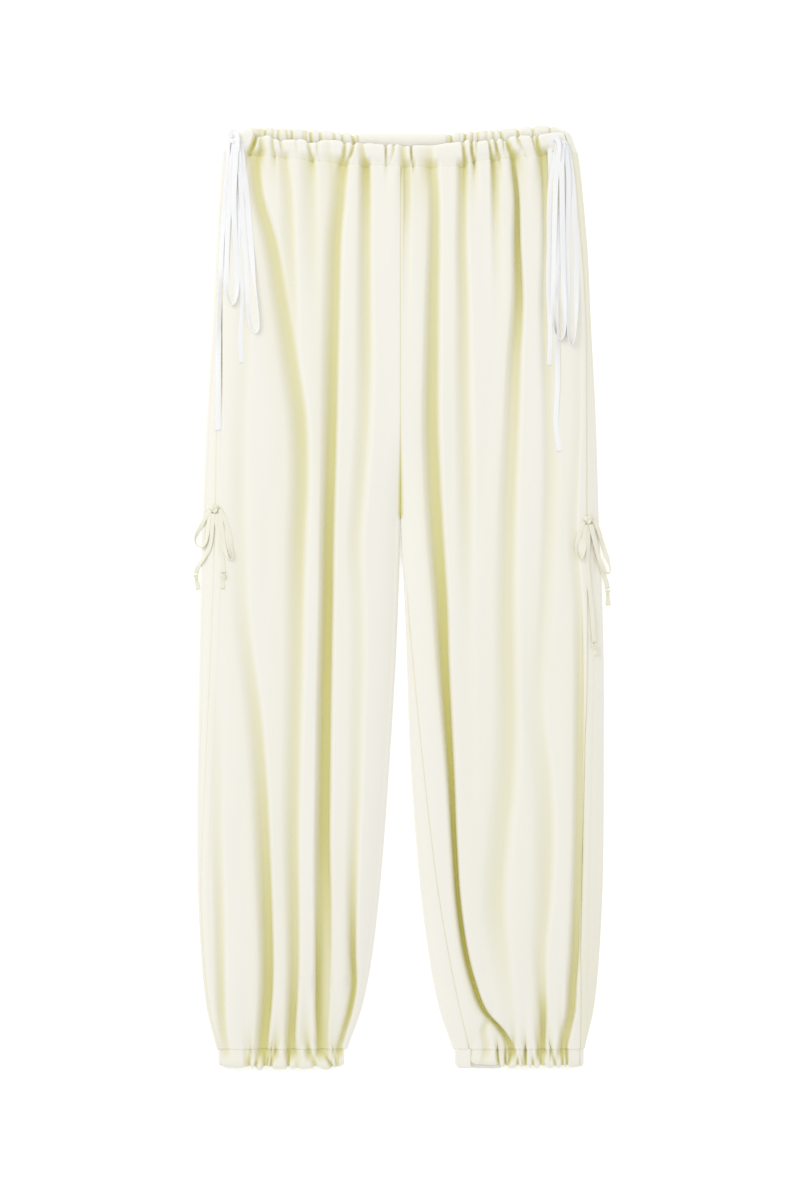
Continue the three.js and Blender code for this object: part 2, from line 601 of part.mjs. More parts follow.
function ankleCasingBack(side) {
  const outerEnd = outline(side, "outer", ANKLE_LEVEL) - ANKLE_ROLL;
  const inner = outline(side, "inner", ANKLE_LEVEL);
  const innerEnd = inner + (side === "right" ? INNER_END : ANKLE_ROLL);
  const path = casingEnd(side, ANKLE_LEVEL, ANKLE_ROLL, ANKLE_CASING_ENDS);
  const tucks = ANKLE_TUCKS[side].map((tuck) => ({ ...tuck, at: tuck.at + BACK_TUCK_SHIFT }));
  const floor = gatheredPlaces(tucks, innerEnd, outerEnd, ANKLE_WIDEST).reverse();
  for (const across of floor.slice(1)) {
    const fromEnd = Math.min(across - innerEnd, outerEnd - across);
    path.push([across, ANKLE_PUFF * (1 - tuckShare(tucks, across)) * ease(fromEnd / ANKLE_TAPER)]);
  }
  if (side === "left") {
    const half = ANKLE_CASING_ENDS / 2;
    for (let step = 1; step <= END_STEPS; step += 1) {
      const turn = (step / END_STEPS - 0.5) * Math.PI;
      path.push([inner + ANKLE_ROLL * (1 - Math.cos(turn)), half * (1 + Math.sin(turn))]);
    }
    path.push([outline(side, "inseam", ANKLE_LEVEL) - SEAM_GAP / 2, ANKLE_CASING_ENDS]);
  }
  const low = ANKLE - SEAM_GAP / 2;
  const hem = HEM - ANKLE_BACK_DROP[side];
  const grid = BAND.map((share) => path.map(
    ([across, z]) => new THREE.Vector3(sign(side) * across, mix(low, hem, share), z),
  ));
  const course = side === "right" ? grid : turned(grid);
  return wall(course, movedIn(course, lipThickness));
}

// The knots. x, y: place of the middle. rise: its height over the cloth. wide, long, high: size.
const KNOTS = named(["name", "x", "y", "rise", "wide", "long", "high"], [
  ["waist_knot_right", -177.5, 493, 3.6, 13, 12, 6.5],
  ["waist_knot_left", 174.5, 489, 3.6, 13, 12, 6.5],
  ["thigh_knot_right", -200, 96, 3.2, 9, 9, 5],
  ["thigh_knot_left", 202.5, 84, 3.2, 9, 9, 5],
  ["thigh_end_knot_right_a", -221.5, 23, 2.6, 5.5, 5.5, 4.4],
  ["thigh_end_knot_right_b", -190.5, 23, 2.6, 5.5, 5.5, 4.4],
  ["thigh_end_knot_left_a", 209, -52, 2.6, 5.5, 5.5, 4.4],
  ["thigh_end_knot_left_b", 224, 6, 2.6, 5.5, 5.5, 4.4],
]);

// Tapes and ties as they lie, each point with its height over the cloth: x, y, rise
const TAPE = 3.2; // gathered thickness of the waist tape
const TIE = 2.8; // gathered thickness of the thigh tie
const ROUTES = [
  {
    name: "waist_end_right_a", thick: TAPE, steps: 20,
    points: [
      [-182, 486.2, 3.4], [-184.5, 476, 2.6], [-187, 452, 2.3], [-190, 420, 2.2], [-192.5, 385, 2.2],
      [-194, 343, 2.2], [-195.5, 300, 2.2], [-196.5, 257, 2.2], [-196.5, 213, 2.2], [-196.5, 180, 2.2],
    ],
  },
  {
    name: "waist_loop_right_a", thick: TAPE, steps: 30,
    points: [
      [-179, 486.2, 6], [-181.5, 470, 5], [-184, 430, 3.2], [-186.5, 390, 2.5], [-187.5, 350, 2.3],
      [-186.5, 325, 2.3], [-183, 315.5, 2.3], [-178.5, 318, 2.3], [-176.5, 332, 2.3], [-176, 358, 2.4],
      [-178.5, 395, 3], [-179.5, 430, 5.5], [-177.8, 470, 8.6], [-177, 486.4, 8.6],
    ],
  },
  {
    name: "waist_loop_right_b", thick: TAPE, steps: 32,
    points: [
      [-175, 486.2, 6], [-173, 462, 5.5], [-171, 430, 3.6], [-168.5, 390, 2.5], [-165, 340, 2.3],
      [-163, 305, 2.3], [-160, 290, 2.3], [-156, 285.5, 2.3], [-152.8, 291, 2.3], [-153.5, 310, 2.3],
      [-158, 345, 2.3], [-162, 395, 2.4], [-166, 440, 3.6], [-170, 470, 4.4], [-172.6, 486.4, 3.4],
    ],
  },
  {
    name: "waist_end_right_b", thick: TAPE, steps: 18,
    points: [
      [-177.6, 486.2, 3.2], [-178, 468, 2.4], [-176, 440, 2.2], [-174.8, 400, 2.2], [-175, 375, 2.2],
      [-172, 352, 2.2], [-171.5, 320, 2.2], [-172, 285, 2.2], [-170.5, 252.5, 2.2],
    ],
  },
  {
    name: "waist_end_left_a", thick: TAPE, steps: 16,
    points: [
      [170, 482.3, 3.4], [166, 472, 2.6], [162, 450, 2.4], [160.5, 415, 2.3], [160, 375, 2.3],
      [160, 330, 2.3], [161.5, 280, 2.3], [161, 250, 2.3],
    ],
  },
  {
    name: "waist_loop_left_a", thick: TAPE, steps: 32,
    points: [
      [171.5, 482.3, 6.4], [167.5, 450, 5], [166.2, 407, 3.6], [165.2, 365, 2.6], [164.8, 322, 2.3],
      [166, 290, 2.3], [171, 277.5, 2.3], [176.5, 284, 2.3], [177, 305, 2.6], [175.6, 343, 4],
      [174.8, 386, 6], [174.2, 430, 6.6], [173.8, 465, 7.6], [174, 482.3, 8.6],
    ],
  },
  {
    name: "waist_loop_left_b", thick: TAPE, steps: 32,
    points: [
      [177.5, 482.3, 6.2], [181, 452, 4.4], [180.5, 410, 2.8], [179.8, 375, 2.4], [180.5, 335, 2.3],
      [180.5, 300, 2.3], [181, 280, 2.3], [184, 271.5, 2.3], [188, 283, 2.3], [189.5, 320, 2.3],
      [190, 360, 2.3], [188.5, 400, 2.3], [186.5, 440, 2.4], [183, 470, 3], [179.5, 482.6, 3.2],
    ],
  },
  {
    name: "waist_end_left_b", thick: TAPE, steps: 24,
    points: [
      [175, 482.3, 3.2], [173.5, 465, 2.3], [171, 430, 2.2], [170, 385, 2.2], [169.8, 330, 2.2],
      [169.8, 305, 4.4], [169.5, 277, 6], [169, 252, 3.4], [169, 224, 2.2], [167.5, 192, 2.2],
      [169, 172, 2.2], [171.5, 157, 2.2],
    ],
  },
  {
    name: "thigh_loop_right_a", thick: TIE, steps: 12,
    points: [
      [-204.6, 94.5, 3.6], [-210, 87, 3.2], [-216, 76, 4.2], [-221.5, 64, 6.4], [-220, 56.5, 6.4],
      [-213.5, 55, 3.4], [-209.5, 62, 2.2], [-207.4, 76, 2.3], [-205.6, 91.6, 2.6],
    ],
  },
  {
    name: "thigh_loop_right_b", thick: TIE, steps: 12,
    points: [
      [-195.4, 95, 3.2], [-189, 84, 2.2], [-183, 62, 2], [-180, 44, 2], [-184.5, 40.5, 2],
      [-189.5, 52, 2], [-192.4, 74, 2], [-195.2, 91.4, 2.6],
    ],
  },
  {
    name: "thigh_end_right_a", thick: TIE, steps: 8,
    points: [
      [-201.9, 90.8, 2.4], [-203.4, 72, 2], [-206, 54, 2], [-213, 42, 2.4], [-218.6, 33, 6],
      [-221, 26.4, 3],
    ],
  },
  {
    name: "thigh_end_right_b", thick: TIE, steps: 8,
    points: [[-198.5, 90.8, 2.4], [-197.2, 76, 2], [-195, 57, 2], [-191.5, 38, 2], [-190.6, 26.4, 2.3]],
  },
  {
    name: "thigh_loop_left_a", thick: TIE, steps: 10,
    points: [
      [197.2, 82, 3], [193.4, 70, 2], [190, 53, 2], [192.4, 41.5, 2], [196.4, 45, 2],
      [198, 60, 2], [199.4, 78.6, 2.4],
    ],
  },
  {
    name: "thigh_loop_left_b", thick: TIE, steps: 12,
    points: [
      [207.8, 84.5, 3.6], [213.5, 73, 4.8], [219.5, 53, 9], [226.5, 31, 9.5], [224.5, 26, 9.5],
      [219.5, 30, 10], [213.2, 46, 5.6], [208.5, 64, 5.4], [205.2, 79, 5],
    ],
  },
  {
    name: "thigh_end_left_a", thick: TIE, steps: 11,
    points: [
      [203, 78.8, 2.4], [202.4, 62, 2.2], [201.6, 40, 2], [203, 17, 2], [206.5, -14, 2],
      [208.8, -48.6, 2.3],
    ],
  },
  {
    name: "thigh_end_left_b", thick: TIE, steps: 7,
    points: [
      [206.6, 79.2, 2.4], [210, 62, 2], [214, 44, 2], [217.4, 30, 4.4], [221.6, 19, 6],
      [223.8, 9.6, 3],
    ],
  },
];

const TUBE_SIDES = 8;
const LAID_STEP = 6; // the height over the cloth is worked out this often

// Highest place of the front under something that reaches this far to both sides
function restHeight(x, y, reach) {
  const side = x < 0 ? "right" : "left";
  const across = Math.abs(x);
  const outer = outline(side, "outer", y);
  const heights = [-reach, 0, reach].map((shift) => {
    const place = across + shift;
    return place > outer ? 0 : topHeight(side, place, y);
  });
  return Math.max(...heights);
}

function tape({ points, thick, steps }) {
  const plan = new THREE.CatmullRomCurve3(points.map((point) => new THREE.Vector3(...point)));
  const count = Math.ceil(plan.getLength() / LAID_STEP);
  const laid = plan.getSpacedPoints(count)
    .map(({ x, y, z }) => new THREE.Vector3(x, y, z + restHeight(x, y, thick / 2)));
  const section = new THREE.Shape();
  section.absarc(0, 0, thick / 2, 0, 2 * Math.PI);
  const outlinePoints = section.getPoints(TUBE_SIDES).slice(0, TUBE_SIDES);
  return new THREE.ExtrudeGeometry(new THREE.Shape(outlinePoints), {
    steps,
    bevelEnabled: false,
    extrudePath: new THREE.CatmullRomCurve3(laid),
  });
}

const UNIT_BALL = 0.5; // radius of a ball one unit across, which is then stretched to size
const SMALL_KNOT = 8; // a knot narrower than this has fewer faces
const KNOT_BEARING = 1 / 3; // part of a knot's width that rests on the cloth, to each side
function knot({ x, y, rise, wide, long, high }) {
  const [round, tall] = wide < SMALL_KNOT ? [8, 4] : [10, 6];
  const geometry = new THREE.SphereGeometry(UNIT_BALL, round, tall);
  geometry.scale(wide, long, high);
  geometry.translate(x, y, restHeight(x, y, wide * KNOT_BEARING) + rise);
  return geometry;
}

const CREAM = 0xf2f1e4;
const WHITE = 0xf3f4f6;
const cream = new THREE.MeshStandardMaterial({ color: CREAM, roughness: 0.92, metalness: 0 });
const tapeWhite = new THREE.MeshStandardMaterial({ color: WHITE, roughness: 0.8, metalness: 0 });

const pants = new THREE.Group();
function add(name, geometry, material) {
  const mesh = new THREE.Mesh(geometry, material);
  mesh.name = name;
  pants.add(mesh);
}

for (const side of ["right", "left"]) {
  add(`front_${side}`, frontPanel(side), cream);
  add(`back_${side}`, backPanel(side), cream);
  add(`ankle_casing_${side}_front`, ankleCasingFront(side), cream);
  add(`ankle_casing_${side}_back`, ankleCasingBack(side), cream);
}
add("waist_casing_front", waistCasingFront(), cream);
add("waist_casing_back", waistCasingBack(), cream);

for (const size of KNOTS) {
  add(size.name, knot(size), size.name.startsWith("waist") ? tapeWhite : cream);
}
for (const route of ROUTES) {
  add(route.name, tape(route), route.name.startsWith("waist") ? tapeWhite : cream);
}

export default pants;
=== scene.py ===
"""Jogger pants in cream crepe, laid flat on their back with the front up."""
import math

import bpy
import numpy as np
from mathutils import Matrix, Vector


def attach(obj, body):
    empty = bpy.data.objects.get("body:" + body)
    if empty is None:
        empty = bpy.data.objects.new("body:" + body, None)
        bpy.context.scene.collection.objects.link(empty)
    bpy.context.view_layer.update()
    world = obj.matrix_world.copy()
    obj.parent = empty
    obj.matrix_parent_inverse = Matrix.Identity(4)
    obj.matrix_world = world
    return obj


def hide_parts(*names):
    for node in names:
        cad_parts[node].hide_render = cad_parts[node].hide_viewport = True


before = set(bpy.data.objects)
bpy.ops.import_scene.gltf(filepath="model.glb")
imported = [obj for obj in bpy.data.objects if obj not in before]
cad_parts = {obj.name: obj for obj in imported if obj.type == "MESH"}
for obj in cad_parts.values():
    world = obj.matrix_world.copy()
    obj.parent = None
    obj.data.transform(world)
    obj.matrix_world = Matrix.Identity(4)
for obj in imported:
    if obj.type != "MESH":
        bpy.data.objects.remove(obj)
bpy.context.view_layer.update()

# Sizes below are in millimetres, in the frame of the CAD model. Meshes are made in metres.
MM = 0.001
TINY = 1e-9
BODY = "root"

# Photograph's frame
FRAME_LONG = 1296.0  # what the camera sees of the surface, top to bottom
FRAME_MIDDLE = (-0.54, -2.7)
CAMERA_HIGH = 4200.0
EDGE_LEVEL = 6.0  # height of the garment's outline, where the frame is measured

# Cloth
CLOTH = 0.9
SEAM_GAP = -0.04  # the pieces lap by a hair, so that no gap shows along a seam
SEAM_DIP, SEAM_HALF = 0.28, 0.8  # the groove along a seam
WAIST_DIP, ANKLE_DIP = 0.22, 0.04  # the grooves along the stitching of the casings
VALLEY = 4.6  # outer face of the front at the bottom of its deepest folds
WAIST, FORK, ANKLE = 464.0, 84.0, -487.0  # ends of the panels, and where the legs part
INNER_ROLL = 4.0  # reach of the rounded inner edge of a leg
CENTRE_ROLL, CENTRE_DIP = 1.3, 1.2  # the same beside the centre front seam, and the seam's depth
FORK_REACH = 120.0  # length above the fork over which the legs' inner edges join
INSEAM_TURN = 90.0  # length below the fork over which the left inseam comes round to the face
TUCKED_SEAM = 0.2  # part of the inner edge's round that lies below the inseam
CENTRE_BACK_SHIFT = 16.0  # the centre back seam lies this far to -X at the waist
SWELL = 14.0  # distance over which the cloth rises from its edges
SPREAD_FROM = 386.0  # above this the rows of the panels spread to meet the waist stitching
BACK_SEAM = 480.0  # the stitching of the back's waist casing is level
RIM_HIGH = 9.2  # height of the rounded outer edge
RIM_UNDER = 0.4  # the cloth beside the centre seam lies this far below its crest
CHANNEL_HALF, CHANNEL_HIGH = 7.5, 0.45  # the drawcord channel down each side seam
CHANNEL_FROM = 86.0

# Outlines of the legs at places along them, outward from the centre line. In this table and the
# next a column that stops early keeps its last value.
SECTIONS = [505, 464, 386, 300, 192, 84, -46, -175, -305, -391, -445, -487, -510]
OUTLINES = {
    "right": {
        "outer": [
            184, 192.8, 199.3, 203.6, 210.1, 214.4, 217.6, 219.8, 219.6, 215.5, 209.5, 199.3, 195.5,
        ],
        "seam": [177, 183, 188.5, 192.8, 197.6, 199.3, 203.6, 209.5, 214.6, 211, 205, 194.8, 191],
        "roll": [4.5, 4.5, 4.5, 4.5, 4.5, 4.5, 4.5, 4.5, 3.6, 3.4],
        "inner": [0, 0, 0, 0, 0, 1.1, 4.9, 12.4, 22.1, 31.9, 43, 57.8, 62],
        "inseam": [0],
        "crest": [13.5, 13.5, 15.5, 16.5, 17, 17, 17, 17, 17, 17, 16, 13.5, 12],
    },
    "left": {
        "outer": [
            182.5, 191.7, 201.4, 205.7, 211.1, 214.4, 219.3, 219.8, 218.7, 214.4, 208.7, 199.3, 197.5,
        ],
        "seam": [174.4, 184, 193.9, 199.3, 200.3, 200.3, 201.4, 198.7, 195.7, 194.2, 194, 193.4, 192],
        "roll": [4.5, 4.5, 4.5, 4.5, 4.5, 4.5, 4.5, 4.5, 4.5, 4.5, 4, 3.6, 3.4],
        "inner": [0, 0, 0, 0, 0, 1.1, 5.9, 10.3, 20, 30.8, 41.6, 55.6, 60],
        "inseam": [0, 0, 0, 0, 0, 1.6, 11.9, 24.3, 39.4, 53.5, 64.8, 74.5, 77],
        "crest": [13.5, 13.5, 15.5, 16.5, 17, 17, 17, 17, 17, 17, 16, 13.5, 12],
    },
}
# Folds of the fronts. at: x of the foot of the steep side. deep: 0 to 1. steep: the side of the
# fold on which the cloth stands up steeply, 1 for +X. floor, soft, bulge: width of the floor, reach
# of the soft slope and reach of the steep one. lean: how far the steep side hangs over the floor.
FOLD_ROWS = [
    505, 467, 429, 386, 321, 256, 192, 127, 62, -3, -68, -132, -197, -262, -327, -381, -418, -446,
    -467, -487, -510,
]
WIDTH_ROWS = [467, 256, 62, -262, -487]
FOLDS = {
    "right": {
        "outer shin": {
            "steep": 1, "lean": 0, "floor": [1, 1, 1, 1, 2], "soft": [9, 9, 9, 9, 7],
            "bulge": [14, 14, 14, 14, 9],
            "at": [
                -193, -193, -193, -193, -193, -194, -195, -195, -196, -196, -196, -196, -196, -196, -194,
                -193, -192, -191, -189.6, -186.3, -184.1,
            ],
            "deep": [
                0, 0, 0, 0, 0, 0, 0, 0, 0, 0, 0, 0.06, 0.14, 0.22, 0.34, 0.42, 0.5, 0.5, 0.45, 0.35, 0.2,
            ],
        },
        "outer knee": {
            "steep": 1, "lean": 1.5, "floor": [1, 1, 1, 4, 8], "soft": [14, 14, 16, 14, 7],
            "bulge": [16, 16, 14, 9, 6],
            "at": [
                -165.8, -165.8, -163.6, -163.6, -165.8, -166.9, -170.1, -171.2, -170.1, -167.9, -160.4,
                -151.7, -146.3, -142.6, -139.9, -138.2, -138.2, -139.9, -142, -143.6,
            ],
            "deep": [
                0, 0, 0, 0.05, 0.1, 0.1, 0.1, 0.12, 0.14, 0.18, 0.3, 0.44, 0.56, 0.7, 0.82, 0.9, 0.95,
                0.95, 0.95, 0.95, 0.9,
            ],
        },
        "side dart": {
            "steep": 1, "lean": 0, "floor": [1], "soft": [12, 18], "bulge": [9, 12],
            "at": [-126.9, -123.7, -118.3, -116.1, -113.9, -112.9, -111.8],
            "deep": [0.4, 0.45, 0.4, 0.32, 0.2, 0.08, 0],
        },
        "hip dart": {
            "steep": 1, "lean": 0, "floor": [1], "soft": [14], "bulge": [14],
            "at": [-98.8, -96.7, -94.5, -93.4],
            "deep": [0.35, 0.38, 0.3, 0.2, 0.06, 0],
        },
        "hip to shin": {
            "steep": 1, "lean": 1.5, "floor": [5, 3, 2, 2, 5], "soft": [9, 17, 18, 14, 7],
            "bulge": [9, 13, 14, 12, 7],
            "at": [
                -160.4, -154.4, -150.1, -136.1, -124.7, -113.9, -104.8, -103.1, -105.8, -107.5, -108.5,
                -110.2, -111.8, -112.9, -111.8, -111.2, -111.8, -112.9, -113.9, -114.5,
            ],
            "deep": [
                0.75, 0.8, 0.75, 0.7, 0.64, 0.6, 0.66, 0.62, 0.58, 0.5, 0.46, 0.46, 0.5, 0.58, 0.66,
                0.72, 0.8, 0.92, 0.95, 0.92, 0.9,
            ],
        },
        "full length": {
            "steep": 1, "lean": 2.5, "floor": [2, 3, 7, 11, 9], "soft": [16, 15, 8, 5],
            "bulge": [10, 10, 9, 8, 7],
            "at": [
                -57.8, -59.9, -62.1, -65.9, -67.5, -69.1, -70.2, -71.8, -73.4, -74, -75.1, -76.1, -76.7,
                -77.2, -76.1, -76.1, -77.2, -78.3, -79.4,
            ],
            "deep": [
                0.6, 0.65, 0.72, 0.76, 0.75, 0.8, 0.84, 0.88, 0.94, 0.98, 0.98, 0.98, 0.98, 0.96, 0.8,
                0.6, 0.5,
            ],
        },
        "inner thigh": {
            "steep": 1, "lean": 2, "floor": [4, 2, 1, 1, 4], "soft": [7, 13, 13, 11, 4],
            "bulge": [8, 13, 15, 10, 5],
            "at": [
                -35.1, -34.6, -34.6, -34.6, -34.6, -34.6, -36.2, -41, -45.9, -43.7, -42.7, -44.3, -45.4,
                -47.5, -49.1, -49.1, -48.1, -52.4, -58.3, -63.7, -66.4,
            ],
            "deep": [
                0.75, 0.8, 0.66, 0.54, 0.5, 0.44, 0.34, 0.32, 0.28, 0.2, 0.18, 0.22, 0.28, 0.38, 0.66,
                0.95, 1.08, 1.1, 0.95, 0.92, 0.8,
            ],
        },
        "full length, shin": {
            "steep": -1, "lean": 1, "floor": [2], "soft": [12], "bulge": [5],
            "at": [
                -95, -95, -95, -95, -95, -95, -95, -95, -95, -95, -95, -95, -95, -95, -95, -95, -95, -95,
                -94, -93,
            ],
            "deep": [0, 0, 0, 0, 0, 0, 0, 0, 0, 0, 0, 0, 0, 0.2, 0.6, 0.9, 1.0, 1.0, 1.0, 0.9, 0.7],
        },
        "beside the side seam": {
            "steep": 1, "lean": 0, "floor": [0.8], "soft": [1.5], "bulge": [2],
            "at": [-191.6],
            "deep": [0, 0, 0, 0.15, 0.7, 0.6, 0.1, 0],
        },
    },
    "left": {
        "outer knee": {
            "steep": 1, "lean": 0, "floor": [1, 1, 2, 5, 8], "soft": [9, 9, 10, 8, 4],
            "bulge": [5, 5, 4],
            "at": [
                189.5, 189.5, 190.6, 191.7, 192.8, 193.9, 193.9, 191.7, 190.6, 196, 197.6, 197.6, 197.1,
                196.6, 194.9, 192.8, 190.1, 188.5, 184.1, 179.8, 178.7,
            ],
            "deep": [
                0, 0, 0, 0, 0.05, 0.08, 0.1, 0.12, 0.16, 0.25, 0.42, 0.52, 0.58, 0.64, 0.7, 0.78, 0.82,
                0.84, 0.82, 0.8, 0.78,
            ],
        },
        "outer hip": {
            "steep": -1, "lean": 2, "floor": [6, 3, 1], "soft": [7, 12, 14], "bulge": [7, 12, 14],
            "at": [148.5, 149, 150.7, 151.7, 150.7, 152.8, 155, 156.1, 153.9, 151.7, 148.5],
            "deep": [0.85, 0.88, 0.66, 0.5, 0.4, 0.32, 0.26, 0.25, 0.22, 0.16, 0.08, 0],
        },
        "shin pocket": {
            "steep": 1, "lean": 1, "floor": [1, 1, 1, 2, 3.5], "soft": [14, 14, 18, 20, 4],
            "bulge": [14, 14, 14, 14, 5],
            "at": [
                158, 158, 158, 158, 158, 158, 158, 158, 156, 153, 150.7, 151.7, 159.3, 161.5, 159.3, 155,
                155.5, 156.6, 156.6, 156,
            ],
            "deep": [
                0, 0, 0, 0, 0, 0, 0, 0, 0, 0.06, 0.12, 0.16, 0.24, 0.3, 0.32, 0.34, 0.45, 0.78, 0.98,
                1.0, 0.95,
            ],
        },
        "deep hip": {
            "steep": 1, "lean": 2.5, "floor": [3, 6, 4, 4, 2], "soft": [3, 9, 15, 19, 14],
            "bulge": [4, 9, 14, 20, 14],
            "at": [
                119.3, 122.6, 128, 129.1, 131.2, 128, 125.8, 122.6, 120.4, 119.3, 119.9, 120.4, 118.3,
                111.8, 107.5, 111.8, 116.1, 118.3, 119.3, 120.4,
            ],
            "deep": [
                0.9, 0.9, 0.96, 0.96, 0.82, 0.6, 0.48, 0.44, 0.4, 0.38, 0.38, 0.36, 0.34, 0.32, 0.32,
                0.24, 0.16, 0.1,
            ],
        },
        "short hip": {
            "steep": -1, "lean": 1, "floor": [2, 1], "soft": [6, 12], "bulge": [6, 12],
            "at": [94.5, 95.6, 97.2, 98.8, 99.9, 101, 102.1],
            "deep": [0.75, 0.8, 0.55, 0.25, 0.06, 0],
        },
        "middle thigh": {
            "steep": 1, "lean": 1.5, "floor": [3, 2, 1], "soft": [6, 12, 14], "bulge": [7, 13, 16],
            "at": [
                67.5, 68.6, 69.1, 69.1, 70.7, 71.3, 71.8, 72.9, 72.9, 72.9, 74, 75.1, 77.2, 79.4, 82.6,
                85.9, 88, 90.2, 92.3, 94.5,
            ],
            "deep": [
                0.75, 0.78, 0.6, 0.52, 0.46, 0.42, 0.36, 0.32, 0.22, 0.1, 0.05, 0.04, 0.04, 0.04, 0,
            ],
        },
        "thigh to ankle": {
            "steep": 1, "lean": 3, "floor": [3, 7, 8, 4, 2.5], "soft": [8, 8, 10, 4, 8],
            "bulge": [9, 12, 10, 6, 5],
            "at": [
                36.2, 37.8, 40, 40, 38.9, 38.3, 38.3, 41, 44.8, 49.1, 51.3, 54.5, 57.8, 60.5, 64.8, 72.4,
                82.1, 93.4, 112, 122.5,
            ],
            "deep": [
                0.5, 0.6, 0.66, 0.68, 0.7, 0.74, 0.78, 0.82, 0.88, 0.96, 1.02, 1.08, 1.14, 1.22, 1.25,
                1.25, 1.25, 1.22, 1.15, 1.0, 0.9,
            ],
        },
        "hollow above the ankle": {
            "steep": 1, "lean": 0, "floor": [1.5], "soft": [6], "bulge": [8],
            "at": [99, 99, 99, 99, 99, 99, 99, 99, 99, 99, 99, 99, 99, 99, 99, 99, 99, 99, 91.5, 95],
            "deep": [0, 0, 0, 0, 0, 0, 0, 0, 0, 0, 0, 0, 0, 0, 0, 0, 0, 0.08, 0.34, 0.22, 0],
        },
        "beside the centre seam": {
            "steep": -1, "lean": 0, "floor": [5, 2, 1], "soft": [6], "bulge": [4],
            "at": [0.5],
            "deep": [0.5, 0.5, 0.45, 0.2, 0.05, 0],
        },
    },
}

# Creases of a gathered edge, in rows of: place at the edge, place at the stitching, depth at the
# edge and at the stitching (0 to 1), half width at both, and run from the stitching into the panel.
# Waist: x. Ankles: distance from the centre line.
WAIST_CREASES = [
    (-155.8, -163.1, 1.0, 1.0, 1.5, 2.0, 5), (-150.7, -152.0, 0.35, 0.9, 2.2, 3.4, 12),
    (-137.5, -135.0, 0.45, 0.6, 1.3, 2.0, 12), (-129.8, -123.7, 0.5, 0.2, 1.4, 2.4, 8),
    (-112.0, -110.0, 0.25, 0.05, 1.4, 2.0, 6), (-99.4, -94.5, 0.4, 0.8, 1.2, 2.4, 12),
    (-90.0, -88.0, 0.35, 0.1, 1.4, 2.0, 6), (-76.0, -74.0, 0.15, 0.25, 3.0, 4.0, 20),
    (-60.4, -63.4, 0.6, 0.85, 1.3, 3.0, 12), (-50.8, -58.6, 0.55, 0.8, 1.4, 2.0, 14),
    (-40.5, -35.4, 0.35, 0.9, 2.4, 3.4, 24), (-16.2, -16.0, 0.7, 0.4, 1.1, 1.4, 8),
    (-7.0, -11.0, 0.5, 0.1, 1.2, 1.4, 5), (3.0, 4.4, 0.45, 0.75, 2.6, 3.4, 28),
    (11.2, 13.6, 0.8, 0.6, 1.0, 1.5, 10), (32.5, 33.0, 0.1, 0.75, 7.0, 5.0, 26),
    (66.8, 69.2, 0.6, 0.95, 1.3, 2.4, 24), (76.6, 79.4, 0.8, 0.95, 1.3, 2.0, 16),
    (82.6, 84.0, 0.4, 0.05, 1.1, 1.2, 4), (95.0, 97.4, 0.5, 0.95, 1.2, 1.8, 24),
    (102.8, 107.0, 0.8, 0.75, 1.3, 1.8, 12), (111.0, 114.8, 0.5, 0.15, 1.1, 1.3, 5),
    (114.3, 122.0, 0.75, 1.0, 1.3, 4.4, 18), (126.4, 136.0, 0.6, 0.2, 1.1, 1.4, 6),
    (141.8, 147.6, 0.6, 0.4, 1.1, 1.5, 6), (147.6, 151.6, 0.7, 1.0, 1.2, 3.4, 26),
]
WAIST_BACK_CREASES = [
    (-152.3, -152.0, 0.4, 0.6, 3.6, 3.6, 20), (-146.6, -148.2, 0.8, 0.9, 1.2, 1.5, 24),
    (-136.6, -139.9, 0.4, 0.5, 1.2, 1.3, 14), (-132.0, -131.8, 0.6, 0.8, 1.2, 1.4, 26),
    (-123.0, -119.4, 0.5, 0.8, 1.1, 1.3, 12), (-116.8, -118.0, 0.7, 0.9, 1.2, 1.7, 30),
    (-105.0, -104.0, 0.4, 0.5, 1.2, 1.3, 16), (-101.2, -101.0, 0.5, 0.6, 1.1, 1.2, 12),
    (-97.7, -96.1, 0.8, 1.0, 1.2, 1.7, 34), (-87.0, -85.4, 0.6, 0.9, 1.3, 1.9, 22),
    (-70.7, -67.6, 0.5, 0.9, 1.3, 1.7, 30), (-63.2, -63.0, 0.7, 0.8, 1.2, 1.4, 14),
    (-52.0, -46.8, 0.8, 1.0, 1.3, 1.7, 26), (-45.8, -45.0, 0.6, 0.5, 1.0, 1.1, 10),
    (50.8, 51.0, 0.5, 0.1, 1.4, 1.4, 8), (55.1, 56.7, 0.8, 1.0, 1.4, 2.1, 32),
    (63.7, 63.9, 0.4, 0.1, 1.2, 1.2, 8), (70.3, 70.0, 0.9, 0.95, 1.2, 1.4, 24),
    (78.6, 78.8, 0.6, 0.6, 1.1, 1.2, 16), (82.6, 84.2, 0.6, 0.6, 1.1, 1.2, 12),
    (93.4, 93.0, 0.4, 0.5, 1.3, 1.6, 28), (100.3, 103.7, 0.6, 0.6, 1.2, 1.3, 14),
    (108.0, 112.9, 0.7, 0.9, 1.2, 1.6, 30), (127.3, 130.1, 0.8, 0.8, 1.2, 1.4, 22),
    (142.8, 144.7, 0.7, 0.6, 1.2, 1.3, 30), (162.0, 164.5, 0.6, 0.5, 1.0, 1.1, 18),
]
